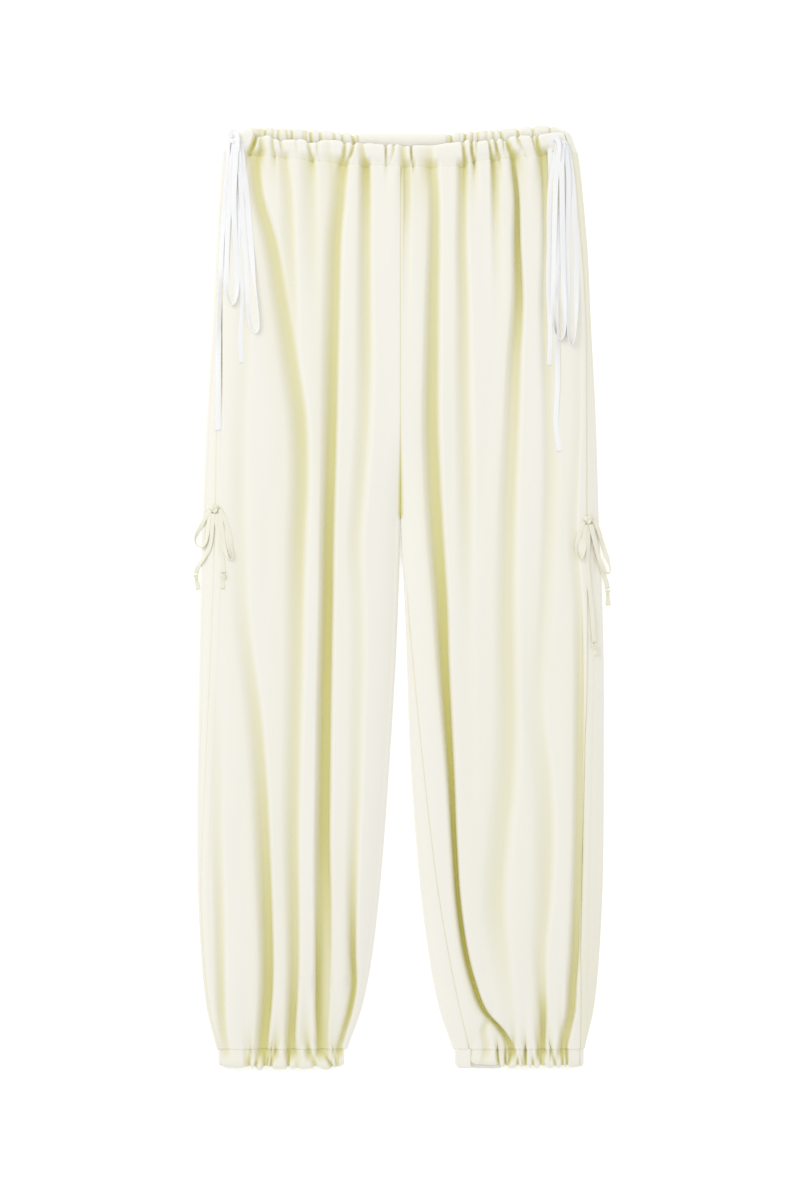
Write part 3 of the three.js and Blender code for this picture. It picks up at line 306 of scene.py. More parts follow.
ANKLE_CREASES = {
    "right": [
        (166.0, 166.0, 0.4, 0.3, 2.2, 2.4, 16), (162.5, 161.0, 0.7, 0.5, 1.5, 1.5, 12),
        (157.1, 153.3, 0.8, 0.4, 1.4, 1.5, 8), (146.7, 146.7, 0.8, 1.0, 1.5, 2.0, 26),
        (144.2, 139.5, 0.7, 0.8, 1.1, 1.8, 10), (140.2, 135.1, 0.7, 0.9, 1.2, 2.2, 14),
        (120.7, 120.2, 0.8, 1.0, 1.4, 1.6, 12), (111.8, 112.9, 0.3, 0.4, 2.4, 3.0, 10),
        (91.3, 98.8, 0.6, 0.9, 2.4, 2.8, 22), (73.4, 85.9, 0.8, 0.8, 1.3, 1.8, 7),
        (69.7, 73.3, 0.6, 0.5, 1.2, 1.3, 6), (66.4, 67.5, 0.4, 0.4, 1.0, 1.0, 5),
    ],
    "left": [
        (73.0, 75.7, 0.2, 0.3, 2.6, 2.6, 10), (88.0, 90.0, 0.15, 0.25, 3.4, 3.0, 8),
        (106.4, 105.3, 0.8, 0.8, 1.2, 1.2, 8), (113.3, 112.6, 0.9, 0.7, 1.2, 1.2, 8),
        (115.8, 120.9, 0.6, 0.95, 1.1, 1.6, 12), (126.9, 123.7, 0.8, 0.3, 1.3, 1.2, 5),
        (132.3, 129.0, 0.6, 0.1, 1.2, 1.2, 4), (135.9, 135.5, 0.8, 1.0, 1.3, 1.5, 10),
        (142.6, 140.9, 0.8, 0.1, 1.4, 1.4, 4), (151.7, 148.5, 0.75, 1.0, 1.4, 2.2, 22),
        (155.6, 153.4, 0.6, 0.1, 1.2, 1.2, 4), (166.9, 161.5, 0.6, 0.75, 1.3, 1.6, 14),
        (175.0, 173.9, 0.7, 0.9, 1.2, 1.3, 18), (179.9, 179.6, 0.7, 0.8, 1.2, 1.2, 14),
    ],
}
CREASE_SPREAD, CREASE_WIDENING = 2.3, 0.9  # full width over core, and how it widens in the panel
CREASE_CORE = 1.35  # above 1 the creases narrow towards their bottom
CREASE_BOW, BOW_TURN = 2.4, 1.7  # sideways curve of a crease, and how it changes from one to the next
UNEVEN, UNEVEN_TURN = 0.55, 2.4  # how much steeper one flank of a crease is than the other

# Stitching of the waist casing and the edges of both casings, across the garment
ACROSS = [-185, -165, -125, -85, -45, 0, 45, 65, 85, 125, 165, 185]
WAIST_SEAM = [480.5, 479, 474, 470, 466, 465, 464, 464.5, 470, 474, 480, 480]
SEAM_SWAY = 0.3  # how far the stitching rises over ridges and sinks in folds
SEAM_LEVEL = 10.5  # height of the cloth where it does neither
BACK_EDGE = [498, 507, 507, 504.5, 501, 501, 501, 503, 504.5, 507, 509, 501]
FRONT_ACROSS = [
    -188, -173, -169, -162, -157.5, -154, -144, -139, -133, -119, -108, -102, -95, -89, -76, -62, -52,
    -44, -38, -17, -4, 10, 21, 37, 50, 62, 75, 86, 94.5, 104, 113, 124, 142, 151, 159, 167, 188,
]
FRONT_EDGE = [
    498, 502, 504.5, 504, 501.5, 498, 497.6, 496.5, 493.4, 493, 493.6, 492, 489.6, 491.4, 493.2, 491,
    489.4, 490.2, 489.6, 487.6, 488.2, 486.6, 487.1, 487.3, 489.2, 490.5, 493, 491.4, 493, 494.1,
    493.8, 497.2, 497.4, 498.6, 500, 501, 500.4,
]
HEM_EDGE = {
    "right": (
        [58, 63, 68, 81, 90, 106, 123, 134, 145, 152, 159, 167, 179, 189, 195],
        [
            -502, -504, -507.6, -508.6, -507.4, -508.2, -508.2, -508.2, -507.8, -509.4, -508.2, -507.2,
            -507, -506.6, -505,
        ],
    ),
    "left": (
        [62, 73.5, 79, 91, 104, 113, 127, 140, 153, 174, 196],
        [-498, -500.4, -502.8, -503.6, -503.8, -507.3, -506.8, -507.3, -506.8, -506.8, -506],
    ),
}
BACK_HEM = {
    "right": ([60, 184, 194, 200], [-503.5, -503.5, -505.8, -505.8]),
    "left": ([60, 108, 116, 184, 194, 200], [-508.8, -508.8, -503.5, -503.5, -506.4, -506.4]),
}


def along(places, values, place):
    """Smooth value between the rows of a table, at one place or many. A column of values that
    stops early keeps its last value."""
    at, value = np.asarray(places, float), np.asarray(values, float)
    value = np.append(value, np.full(len(at) - len(value), value[-1]))
    if at[0] > at[-1]:
        at, value = at[::-1], value[::-1]
    place = np.clip(place, at[0], at[-1])
    row = np.clip(np.searchsorted(at, place, side="right") - 1, 0, len(at) - 2)
    index = np.arange(len(at))
    before, after = np.maximum(index - 1, 0), np.minimum(index + 1, len(at) - 1)
    slope = (value[after] - value[before]) / (at[after] - at[before])
    span = at[row + 1] - at[row]
    share = (place - at[row]) / span
    rise = value[row + 1] - value[row]
    start, end = slope[row] * span, slope[row + 1] * span
    curve = start + end - 2 * rise
    return value[row] + share * (start + share * (rise - start - curve + share * curve))


def outline(side, column, y):
    return along(SECTIONS, OUTLINES[side][column], y)


def sign(side):
    return -1 if side == "right" else 1


def ease(share):
    held = np.clip(share, 0, 1)
    return held * held * (3 - 2 * held)


def mix(start, end, share):
    return start + (end - start) * share


def bell(offset, half):
    return np.exp(-((offset / half) ** 2))


# Slow waves of the cloth between its folds: width, height, turn, length along the leg, turn
WAVES = [(58.0, 0.5, 0.3, 430.0, 2.1), (37.0, 0.35, 1.9, 300.0, 0.4), (22.0, 0.14, 2.6, 210.0, 3.3)]
WAVE_DRIFT = 0.2  # sideways drift of a wave along the leg, as a share of its width
WAVE_STEADY, WAVE_BEAT = 0.6, 1.7  # share of a wave that is always there, and how slowly the rest changes
WAVES_FROM = 20.0  # distance from the edges over which the waves set in


def waves(x, y):
    """Low uneven swell of the cloth, long along the leg."""
    total = 0
    for wide, high, start, long_, turn in WAVES:
        drift = WAVE_DRIFT * wide * np.sin(2 * math.pi * y / long_ + turn)
        beat = np.sin(2 * math.pi * y / (WAVE_BEAT * long_) + 2 * turn)
        strength = WAVE_STEADY + (1 - WAVE_STEADY) * beat
        total = total + high * strength * np.sin(2 * math.pi * (x + drift) / wide + start)
    return total


FOLD_SHIFT = 1.6  # all folds lie this far to +X of their table
LEAN_LIMIT = 0.08  # of the steep side's reach
STEEP_REACH = 0.78
FOOT_IN = 2.2  # the foot of the steep side lies this far towards the soft side
SHOULDER, SHOULDER_REACH = 0.26, 2.3  # light painted shade beyond the soft slope, and how far it runs out
DARK_FLOOR = 0.7  # share of the floor that takes the full painted shade
DARK_STEEP = 1.5  # above 1 the painted shade leaves the steep side sooner than its height does
DEEPEST = 1.25  # above 1 a fold is as deep as can be and only its painted shade deepens
LEAN_PEAK = 6.75  # brings the highest value of high**2 * (1 - high) to 1


def fold_place(fold, x, y):
    """Widths of a fold's floor, soft slope and steep slope, and how far a place lies beyond the
    foot of the steep one."""
    floor, soft, bulge = (along(WIDTH_ROWS, fold[width], y) for width in ("floor", "soft", "bulge"))
    offset = (x - along(FOLD_ROWS, fold["at"], y) - FOLD_SHIFT) * fold["steep"] + FOOT_IN
    return floor, soft, bulge, offset


def fold_share(fold, x, y):
    """1 on a fold's floor, falling to 0 at the end of its slopes, its painted shade, the painted
    shade beyond that of the other folds, and the lean of its steep side."""
    whole = np.clip(along(FOLD_ROWS, fold["deep"], y), 0, DEEPEST)
    deep = np.minimum(whole, 1)
    floor, soft, bulge, offset = fold_place(fold, x, y)
    up = np.clip(offset / (STEEP_REACH * bulge), 0, 1)
    steep = (1 - up**2) ** 3
    gentle = 1 - ease((-offset - floor) / soft)
    share = np.where(offset > 0, steep, gentle)
    beyond = -offset - DARK_FLOOR * floor
    shoulder = SHOULDER * (1 - ease(beyond / (SHOULDER_REACH * soft)))
    soft_tone = shoulder + (1 - SHOULDER) * (1 - ease(beyond / soft))
    # painted shade: full on the fold's floor, fading up its slopes
    tone = np.where(offset > 0, steep**DARK_STEEP, soft_tone)
    high = 1 - steep
    shape = np.where(offset > 0, LEAN_PEAK * high**2 * (1 - high), 0)
    lean = shape * np.minimum(fold["lean"], LEAN_LIMIT * bulge) * deep**2
    return deep * share, deep * tone, (whole - deep) * tone, -fold["steep"] * lean


def creases(table, place, share, run_in=0.0):
    """Depth from 0 to 1 of the creases of a gathered edge. share: 0 at the stitching, 1 at the
    edge. run_in: distance from the stitching into the panel."""
    keep = 1.0
    for number, (at_edge, at_seam, deep_edge, deep_seam, wide_edge, wide_seam, run) in enumerate(table):
        fade = np.exp(-run_in / run)
        way = at_edge - at_seam
        bow = CREASE_BOW * math.sin(BOW_TURN * number) + 0.5 * way
        middle = mix(at_seam, at_edge, share) + bow * share * (1 - share) - way * 0.5 * (1 - fade)
        wide = mix(wide_seam, wide_edge, share) * (1 + CREASE_WIDENING * (1 - fade)) * CREASE_SPREAD
        deep = mix(deep_seam, deep_edge, share) * fade
        offset = place - middle
        reach = wide * (1 + UNEVEN * math.sin(UNEVEN_TURN * number) * np.sign(offset))
        keep = keep * (1 - deep * (1 - ease(np.abs(offset) / reach)) ** CREASE_CORE)
    return 1 - keep


GATHER_DEPTH, GATHER_PAINTED_SHADE = 0.85, 0.9  # how deep the short folds beside the casings are, and how much painted shade they take


def gathers(side, table, x, y):
    """Depth of the short folds that run from the waist and from the ankle into a panel. table: the
    creases of its waist."""
    upper = creases(table, x, 0.0, np.maximum(WAIST - y, 0))
    lower = creases(ANKLE_CREASES[side], x * sign(side), 0.0, np.maximum(y - ANKLE, 0))
    return upper, lower


def inner_roll(y):
    """Radius of the cloth's turn at the inner edge, small beside the centre seam."""
    return mix(INNER_ROLL, CENTRE_ROLL, ease((y - FORK) / FORK_REACH))


CHANNEL_ENDS, CHANNEL_SIDES = 12.0, 1.6  # lengths over which the channel rises
UPRIGHT_ENDS = 18.0  # the steep sides of the folds stand upright over this length at both ends


def face(side, across, y):
    """Height of the front's outer face, the painted shade of its folds and gathers, and its shift along
    x.
    """
    across, y = np.broadcast_arrays(np.asarray(across, float), np.asarray(y, float))
    x = across * sign(side)
    outer, roll, crest, seam = (outline(side, k, y) for k in ("outer", "roll", "crest", "seam"))
    fork = ease((y - FORK) / FORK_REACH)
    inner = np.where(y < FORK, outline(side, "inner", y), 0)
    rim_in = mix(2 * INNER_ROLL, crest - RIM_UNDER, fork)
    from_outer = np.maximum(outer - roll - across, 0)
    from_inner = np.maximum(across - inner - inner_roll(y), 0)
    swell = waves(x, y) * (1 - np.exp(-from_outer / WAVES_FROM))
    height = crest + swell * (1 - np.exp(-from_inner / WAVES_FROM) * (1 - fork))
    height = height - (height - RIM_HIGH) * np.exp(-from_outer / SWELL)
    height = height - (height - rim_in) * np.exp(-from_inner / SWELL)
    keep, light, darkest, lean = 1, 1, 0, 0
    for fold in FOLDS[side].values():
        share, tone, more, shift = fold_share(fold, x, y)
        keep = keep * (1 - share)
        light = light * (1 - tone)
        darkest = darkest + more
        lean = lean + shift
    upper, lower = gathers(side, WAIST_CREASES, x, y)
    gather = 1 - (1 - upper) * (1 - lower)
    height = VALLEY + np.maximum(height - VALLEY, 0) * keep * (1 - GATHER_DEPTH * gather)
    beside = np.abs(across - seam)
    channel = ease((CHANNEL_FROM - y) / CHANNEL_ENDS) * ease((y - ANKLE) / CHANNEL_ENDS)
    height = height + CHANNEL_HIGH * channel * (1 - ease((beside - CHANNEL_HALF + 1) / CHANNEL_SIDES))
    # painted shade of the folds and gathers, deepest in the deepest folds
    painted_shade = 1 - light * (1 - GATHER_PAINTED_SHADE * gather) + darkest
    ends = ease((WAIST - y) / UPRIGHT_ENDS) * ease((y - ANKLE) / UPRIGHT_ENDS)
    return height, painted_shade, lean * ends


def top_height(side, across, y):
    """Height of the face and of the upper half of the rounded outer edge."""
    outer, roll = outline(side, "outer", y), outline(side, "roll", y)
    border = outer - roll
    flat = face(side, np.minimum(across, border), y)[0]
    half = flat / 2
    share = np.clip((across - border) / roll, 0, 1)
    return np.where(across <= border, flat, half + half * np.sqrt(1 - share * share))


ROUND = math.pi * INNER_ROLL  # length of cloth round the inner edge of a leg


def inseam_wrap(side, y):
    """Length of cloth between the floor and the inseam, round the inner edge."""
    y = np.asarray(y, float)
    tucked = ROUND * TUCKED_SEAM
    if side == "right":
        return np.full(y.shape, tucked)
    strip = outline(side, "inseam", y) - outline(side, "inner", y) - INNER_ROLL
    started = ease((FORK - y) / INSEAM_TURN)
    return np.where(y >= FORK, tucked, mix(tucked, ROUND + np.maximum(strip, 0), started))


def inner_point(side, y, length):
    """Place and height on the inner edge of a leg, a length of cloth away from the floor."""
    above = y > FORK
    roll = inner_roll(y)
    inner = np.where(above, 0, outline(side, "inner", y))
    turn = (np.clip(length / ROUND, 0, 1) - 0.5) * math.pi
    edge = face(side, inner + roll, y)[0]
    dip = mix(edge / 2, CENTRE_DIP, ease((y - FORK) / FORK_REACH))
    across_flat = inner + roll + np.maximum(length - ROUND, 0)
    height_flat = face(side, across_flat, y)[0]
    half_gap = np.where(above, SEAM_GAP / 2, 0)
    across_round = inner + half_gap + roll - roll * np.cos(turn)
    height_round = np.where(above, edge - dip + dip * np.sin(turn), edge / 2 * (1 + np.sin(turn)))
    flat = length > ROUND
    return np.where(flat, across_flat, across_round), np.where(flat, height_flat, height_round)


def waist_height(x):
    """Height of the fronts along the waist stitching, and their painted shade."""
    x = np.asarray(x, float)
    right, left = (face(side, np.maximum(x * sign(side), 0), WAIST) for side in ("right", "left"))
    return np.where(x < 0, right[0], left[0]), np.where(x < 0, right[1], left[1])


def waist_seam(x):
    """Course of the waist stitching, higher over the ridges of the folds."""
    return along(ACROSS, WAIST_SEAM, x) + SEAM_SWAY * (waist_height(x)[0] - SEAM_LEVEL)


def row_place(y, casing_seam):
    lift = casing_seam - SEAM_GAP / 2 - WAIST
    return y + lift * ease((y - SPREAD_FROM) / (WAIST - SPREAD_FROM))


def unit(vectors):
    """The same directions, each with length 1."""
    return vectors / np.maximum(np.linalg.norm(vectors, axis=-1, keepdims=True), TINY)


def normals(grid):
    """Unit normals of a grid of points."""
    return unit(np.cross(np.gradient(grid, axis=0), np.gradient(grid, axis=1)))


def linked(name, data):
    """A new object in the scene."""
    obj = bpy.data.objects.new(name, data)
    bpy.context.scene.collection.objects.link(obj)
    return obj


def new_mesh(name, points, faces, attributes=None):
    """A smooth mesh object from points in millimetres and lists of corners."""
    mesh = bpy.data.meshes.new(name)
    mesh.from_pydata((np.asarray(points) * MM).tolist(), [], faces)
    mesh.polygons.foreach_set("use_smooth", np.ones(len(mesh.polygons), bool))
    for key, values in (attributes or {}).items():
        layer = mesh.attributes.new(key, "FLOAT", "POINT")
        layer.data.foreach_set("value", np.asarray(values, np.float32).ravel())
    mesh.validate()
    mesh.update()
    return linked(name, mesh)


def facing_out(points, faces):
    """The faces, turned if they look inward."""
    corners = points[faces]
    one = np.einsum("ij,ij->i", corners[:, 0], np.cross(corners[:, 1], corners[:, 2]))
    two = np.einsum("ij,ij->i", corners[:, 0], np.cross(corners[:, 2], corners[:, 3]))
    return faces if (one + two).sum() > 0 else faces[:, ::-1]


def closed_shell(name, outer, inner, attributes=None):
    """A closed piece between two grids of points."""
    rows, columns = outer.shape[:2]
    points = np.concatenate([outer.reshape(-1, 3), inner.reshape(-1, 3)])
    index = np.arange(rows * columns).reshape(rows, columns)
    back = index + rows * columns
    corners = [index[:-1, :-1], index[:-1, 1:], index[1:, 1:], index[1:, :-1]]
    behind = [back[:-1, :-1], back[1:, :-1], back[1:, 1:], back[:-1, 1:]]
    quads = [np.stack(sheet, -1).reshape(-1, 4) for sheet in (corners, behind)]
    for edge, far, flip in (
        (index[0], back[0], False), (index[-1], back[-1], True),
        (index[:, 0], back[:, 0], True), (index[:, -1], back[:, -1], False),
    ):
        strip = np.stack([edge[:-1], far[:-1], far[1:], edge[1:]], -1)
        quads.append(strip[:, ::-1] if flip else strip)
    faces = facing_out(points, np.concatenate(quads))
    doubled = {key: np.tile(values.ravel(), 2) for key, values in (attributes or {}).items()}
    return new_mesh(name, points, faces.tolist(), doubled)


def tube_faces(count, sides):
    """Corners of the faces of a tube with a number of rings, closed at both ends."""
    index = np.arange(count * sides).reshape(count, sides)
    over = np.roll(index, -1, axis=1)
    quads = np.stack([index[:-1], over[:-1], over[1:], index[1:]], axis=-1).reshape(-1, 4).tolist()
    return quads + [index[0, ::-1].tolist(), index[-1].tolist()]


def dress(obj, nodes, slot, *materials):
    """Rides, stands for its CAD nodes and takes its materials. slot is not used."""
    for material in materials:
        obj.data.materials.append(material)
    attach(obj, BODY)
    if nodes:
        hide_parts(*nodes)
    return obj


# Camera
def add_camera():
    camera = bpy.data.cameras.new("camera")
    camera.type = "PERSP"
    camera.sensor_fit = "VERTICAL"
    camera.sensor_height = 36.0
    camera.lens = camera.sensor_height * (CAMERA_HIGH - EDGE_LEVEL) / FRAME_LONG
    camera.clip_end = 100
    obj = linked("camera", camera)
    obj.location = (FRAME_MIDDLE[0] * MM, FRAME_MIDDLE[1] * MM, CAMERA_HIGH * MM)
    bpy.context.scene.camera = obj


add_camera()


# Materials
def node_material(name):
    material = bpy.data.materials.new(name)
    material.use_nodes = True
    tree = material.node_tree
    return material, tree, tree.nodes["Principled BSDF"]


def add_node(tree, kind, **inputs):
    node = tree.nodes.new(kind)
    for key, value in inputs.items():
        node.inputs[key.replace("_", " ")].default_value = value
    return node


def sum_node(tree, operation, one, two):
    """Output of a maths node on a socket and a socket or number."""
    node = tree.nodes.new("ShaderNodeMath")
    node.operation = operation
    tree.links.new(one, node.inputs[0])
    if isinstance(two, bpy.types.NodeSocket):
        tree.links.new(two, node.inputs[1])
    else:
        node.inputs[1].default_value = two
    return node.outputs[0]


def blend_colour(tree, one, two, share, mode="MIX"):
    """Colour between two, each a colour or a socket."""
    node = tree.nodes.new("ShaderNodeMix")
    node.data_type = "RGBA"
    node.blend_type = mode
    for socket, value in ((node.inputs[6], one), (node.inputs[7], two), (node.inputs[0], share)):
        if isinstance(value, bpy.types.NodeSocket):
            tree.links.new(value, socket)
        else:
            socket.default_value = value
    return node.outputs[2]


def object_noise(tree, scale, detail, roughness=0.5):
    noise = add_node(tree, "ShaderNodeTexNoise", Scale=scale, Detail=detail, Roughness=roughness)
    place = tree.nodes.new("ShaderNodeTexCoord").outputs["Object"]
    tree.links.new(place, noise.inputs["Vector"])
    return noise.outputs["Fac"]


def attribute(tree, name):
    node = tree.nodes.new("ShaderNodeAttribute")
    node.attribute_name = name
    return node.outputs["Fac"]


def add_bump(tree, shader, height, strength, distance):
    bump = add_node(tree, "ShaderNodeBump", Strength=strength, Distance=distance)
    tree.links.new(height, bump.inputs["Height"])
    tree.links.new(bump.outputs["Normal"], shader.inputs["Normal"])


FOLD_SHADE_SHARE = 0.74  # how much of the painted fold shade the deepest folds take


def crepe_material(name, lit, warm, fold):
    """Matt crepe: fine crinkled grain, a hint of uneven dye, and painted shade, a deeper yellow, inside
    folds.
    """
    material, tree, shader = node_material(name)
    tone = sum_node(tree, "MULTIPLY", attribute(tree, "painted_shade"), FOLD_SHADE_SHARE)
    cloth = blend_colour(tree, lit, warm, object_noise(tree, 7.0, 1.0))
    # The fold colour mixed in here is painted shade, as strong as the attribute read above says.
    cloth_with_painted_shade = blend_colour(tree, cloth, fold, tone)
    grain = object_noise(tree, 1400.0, 2.0, 0.65)
    fleck = blend_colour(tree, (0.975, 0.975, 0.97, 1), (1, 1, 1, 1), grain)
    tree.links.new(blend_colour(tree, cloth_with_painted_shade, fleck, 1.0, "MULTIPLY"), shader.inputs["Base Color"])
    pebble = add_node(tree, "ShaderNodeTexVoronoi", Scale=900.0, Randomness=1.0)
    tree.links.new(tree.nodes.new("ShaderNodeTexCoord").outputs["Object"], pebble.inputs["Vector"])
    add_bump(tree, shader, sum_node(tree, "ADD", grain, pebble.outputs["Distance"]), 0.3, 0.0003)
    shader.inputs["Roughness"].default_value = 0.9
    shader.inputs["Specular IOR Level"].default_value = 0.15
    shader.inputs["Sheen Weight"].default_value = 0.04
    shader.inputs["Sheen Roughness"].default_value = 0.5
    return material


def tape_material(name, colour):
    """Smooth woven tape: fine ribs along it."""
    material, tree, shader = node_material(name)
    grain = object_noise(tree, 1600.0, 2.0)
    shade = tuple(0.95 * part for part in colour[:3]) + (1,)
    tree.links.new(blend_colour(tree, colour, shade, grain), shader.inputs["Base Color"])
    rib = sum_node(tree, "SINE", attribute(tree, "rib"), 0.0)
    add_bump(tree, shader, sum_node(tree, "ADD", rib, grain), 0.3, 0.0002)
    shader.inputs["Roughness"].default_value = 0.8
    shader.inputs["Specular IOR Level"].default_value = 0.2
    shader.inputs["Sheen Weight"].default_value = 0.03
    return material


# fold: the colour of the painted shade inside folds and along seams
CREPE = crepe_material(
    "cream_crepe", lit=(0.925, 0.905, 0.832, 1), warm=(0.918, 0.895, 0.81, 1), fold=(0.65, 0.61, 0.12, 1)
)
TAPE = tape_material("drawstring_tape", (0.955, 0.958, 0.965, 1))
THREAD = tape_material("sewing_thread", (0.885, 0.86, 0.72, 1))


# Panels
TOP_LONG, TOP_ROWS = 44, 26  # stretch of closer rows below the waist
LOW_LONG, LOW_ROWS = 60, 30  # and above the ankle
MIDDLE_ROWS = 118
CROWDING = 1.5


def spaced_rows():
    """Rows of the panels, closer together at the gathered ends."""
    top = WAIST - TOP_LONG * np.linspace(0, 1, TOP_ROWS, endpoint=False) ** CROWDING
    middle = np.linspace(WAIST - TOP_LONG, ANKLE + LOW_LONG, MIDDLE_ROWS, endpoint=False)
    low = ANKLE + LOW_LONG * np.linspace(1, 0, LOW_ROWS) ** CROWDING
    return np.concatenate([top, middle, low])


PANEL_ROWS = spaced_rows()
COLUMNS, FINE = 250, 1400
FOOT_CLOSER, SLOPE_CLOSER, SEAM_CLOSER = 3.0, 1.3, 3.0  # how much closer the columns lie there
SEAM_BAND, CHANNEL_BAND, FOOT_BAND = 1.4, 1.8, 2.4
SLOPE_EASE = 4
# Painted shade along the side seams, the inseam and the centre seam, and beside the fork
SEAM_PAINTED_SHADE, INSEAM_PAINTED_SHADE = 0.3, 0.35
CENTRE_PAINTED_SHADE, FORK_PAINTED_SHADE = 0.85, 0.6
FORK_SHADE = 3  # how much wider the centre seam's painted shade is beside the fork
FLAT_START = 8.0  # the columns of the inner edge start this far from its round
INNER_COLUMNS = 20


def front_columns(side, y, inner_start, outer_end):
    """Places across a front, closer together in its folds and beside the side seam."""
    across = mix(outer_end, inner_start, np.linspace(0, 1, FINE)[None, :])
    beside = outer_end - across
    closer = 1 + SEAM_CLOSER * bell(beside, SEAM_BAND) + bell(beside - CHANNEL_HALF, CHANNEL_BAND)
    for fold in FOLDS[side].values():
        deep = np.clip(1.4 * along(FOLD_ROWS, fold["deep"], y), 0, 1)
        floor, soft, bulge, offset = fold_place(fold, across * sign(side), y)
        started = ease((offset + floor + soft + SLOPE_EASE / 2) / SLOPE_EASE)
        slopes = started * (1 - ease((offset - bulge + SLOPE_EASE / 2) / SLOPE_EASE))
        closer = closer + deep * (FOOT_CLOSER * bell(offset - 0.5, FOOT_BAND) + SLOPE_CLOSER * slopes)
    total = np.cumsum(closer, axis=1)
    total = (total - total[:, :1]) / (total[:, -1:] - total[:, :1])
    even = np.linspace(0, 1, COLUMNS)
    return np.stack([np.interp(even, one, place) for one, place in zip(total, across)])


def end_dips(y):
    """The grooves along the waist and ankle stitching."""
    return WAIST_DIP * bell(WAIST - y, SEAM_HALF) + ANKLE_DIP * bell(y - ANKLE, SEAM_HALF)


def front_grid(side):
    """Points of a front's outer face, from its side seam to its inner edge, and their painted shade."""
    y = PANEL_ROWS[:, None]
    outer_end = outline(side, "seam", y) - SEAM_GAP / 2
    inner = np.where(y < FORK, outline(side, "inner", y), 0)
    start_length = np.maximum(inseam_wrap(side, y), ROUND) + FLAT_START
    inner_start = inner + inner_roll(y) + start_length - ROUND
    across = front_columns(side, y, inner_start, outer_end)
    height, painted_shade, lean = face(side, across, y)
    x = across * sign(side) + lean
    at_side = bell(outer_end - across, SEAM_HALF)
    end = np.where(y > FORK, ROUND / 2, inseam_wrap(side, y) + SEAM_GAP)
    shares = np.linspace(0, 1, INNER_COLUMNS)[None, 1:]
    length = mix(start_length, end, shares)
    roll_across, roll_height = inner_point(side, np.broadcast_to(y, length.shape), length)
    at_inseam = (y <= FORK) * (length > ROUND) * bell(length - end, SEAM_HALF)
    x = np.concatenate([x, roll_across * sign(side)], axis=1)
    z = np.concatenate([height - SEAM_DIP * at_side, roll_height - SEAM_DIP * at_inseam], axis=1)
    # painted shade beside the centre seam and the fork, and along the inseam
    beside_fork = ease((FORK + FORK_REACH - y) / FORK_REACH) * (y > FORK)
    near_centre = np.clip(1 - roll_across / (CENTRE_ROLL + FORK_SHADE * beside_fork), 0, 1)
    centre_tone = (CENTRE_PAINTED_SHADE * (y > FORK) + FORK_PAINTED_SHADE * beside_fork) * near_centre
    roll_tone = face(side, roll_across, y)[1] * np.where(y > FORK, 1, 1 - shares)
    roll_tone = np.clip(roll_tone + centre_tone + INSEAM_PAINTED_SHADE * at_inseam, 0, 1)
    painted_shade = np.concatenate([np.maximum(painted_shade, SEAM_PAINTED_SHADE * at_side), roll_tone], axis=1)
    y_moved = row_place(np.broadcast_to(y, x.shape), waist_seam(x))
    return np.stack([x, y_moved, z - end_dips(y)], axis=2), painted_shade


# Shallow creases of the side that lies on the surface: x, depth, half width
BACK_CREASES = [
    (-150, 0.9, 7), (-96, 1.2, 8), (-62, 0.8, 6), (-24, 1.0, 6), (34, 1.1, 7), (78, 0.9, 6),
    (121, 1.2, 8), (163, 0.8, 6),
]
BACK_DEEPEST = 1.6
BACK_GATHER = 1.5
BACK_DRIFT, DRIFT_LONG, DRIFT_TURN = 6, 140, 1.7  # how the creases wander sideways
BACK_STEADY, RUN_LONG, RUN_TURN = 0.55, 230, 2.3  # and how they come and go along the leg
BACK_PAINTED_SHADE = 0.3  # painted shade for each millimetre of depth


def back_relief(side, x, y):
    """How far the cloth that lies on the surface is raised."""
    total = 0
    for number, (at, deep, wide) in enumerate(BACK_CREASES):
        drift = BACK_DRIFT * np.sin(y / DRIFT_LONG + number * DRIFT_TURN)
        run = BACK_STEADY + (1 - BACK_STEADY) * np.sin(y / RUN_LONG + number * RUN_TURN)
        total = total + deep * run * bell(x - at - drift, wide)
    upper, lower = gathers(side, WAIST_BACK_CREASES, x, y)
    return np.clip(total + BACK_GATHER * (upper + lower), 0, BACK_DEEPEST)


# Painted shade on the strip beyond the side seam and on the rounded outer edge, at places along the leg
EDGE_PAINTED_SHADE = {
    "right": ([-430, -300, 150, 300], [0.06, 0.0, 0.0, 0.0]),
    "left": ([-430, -300, 150, 300, 460], [0.16, 0.08, 0.05, 0.14, 0.22]),
}


# Columns of the backs: the strip beyond the side seam, the round, the floor and the wrap to the inseam
STRIP_SHARES = np.concatenate([[0, 0.02, 0.05, 0.1], np.linspace(0.2, 1, 12)])
ROUND_STEPS, FLOOR_STEPS = 15, 110
WRAP_SHARES = np.concatenate([np.linspace(0, 0.8, 14), [0.86, 0.91, 0.95, 0.98, 1]])
FLOOR_EASE_OUT, FLOOR_EASE_IN = 14, 10  # the raised creases end this far from the floor's borders
LAPPED = 0.02  # above the fork the wrap's columns share this much, closed up beside the centre


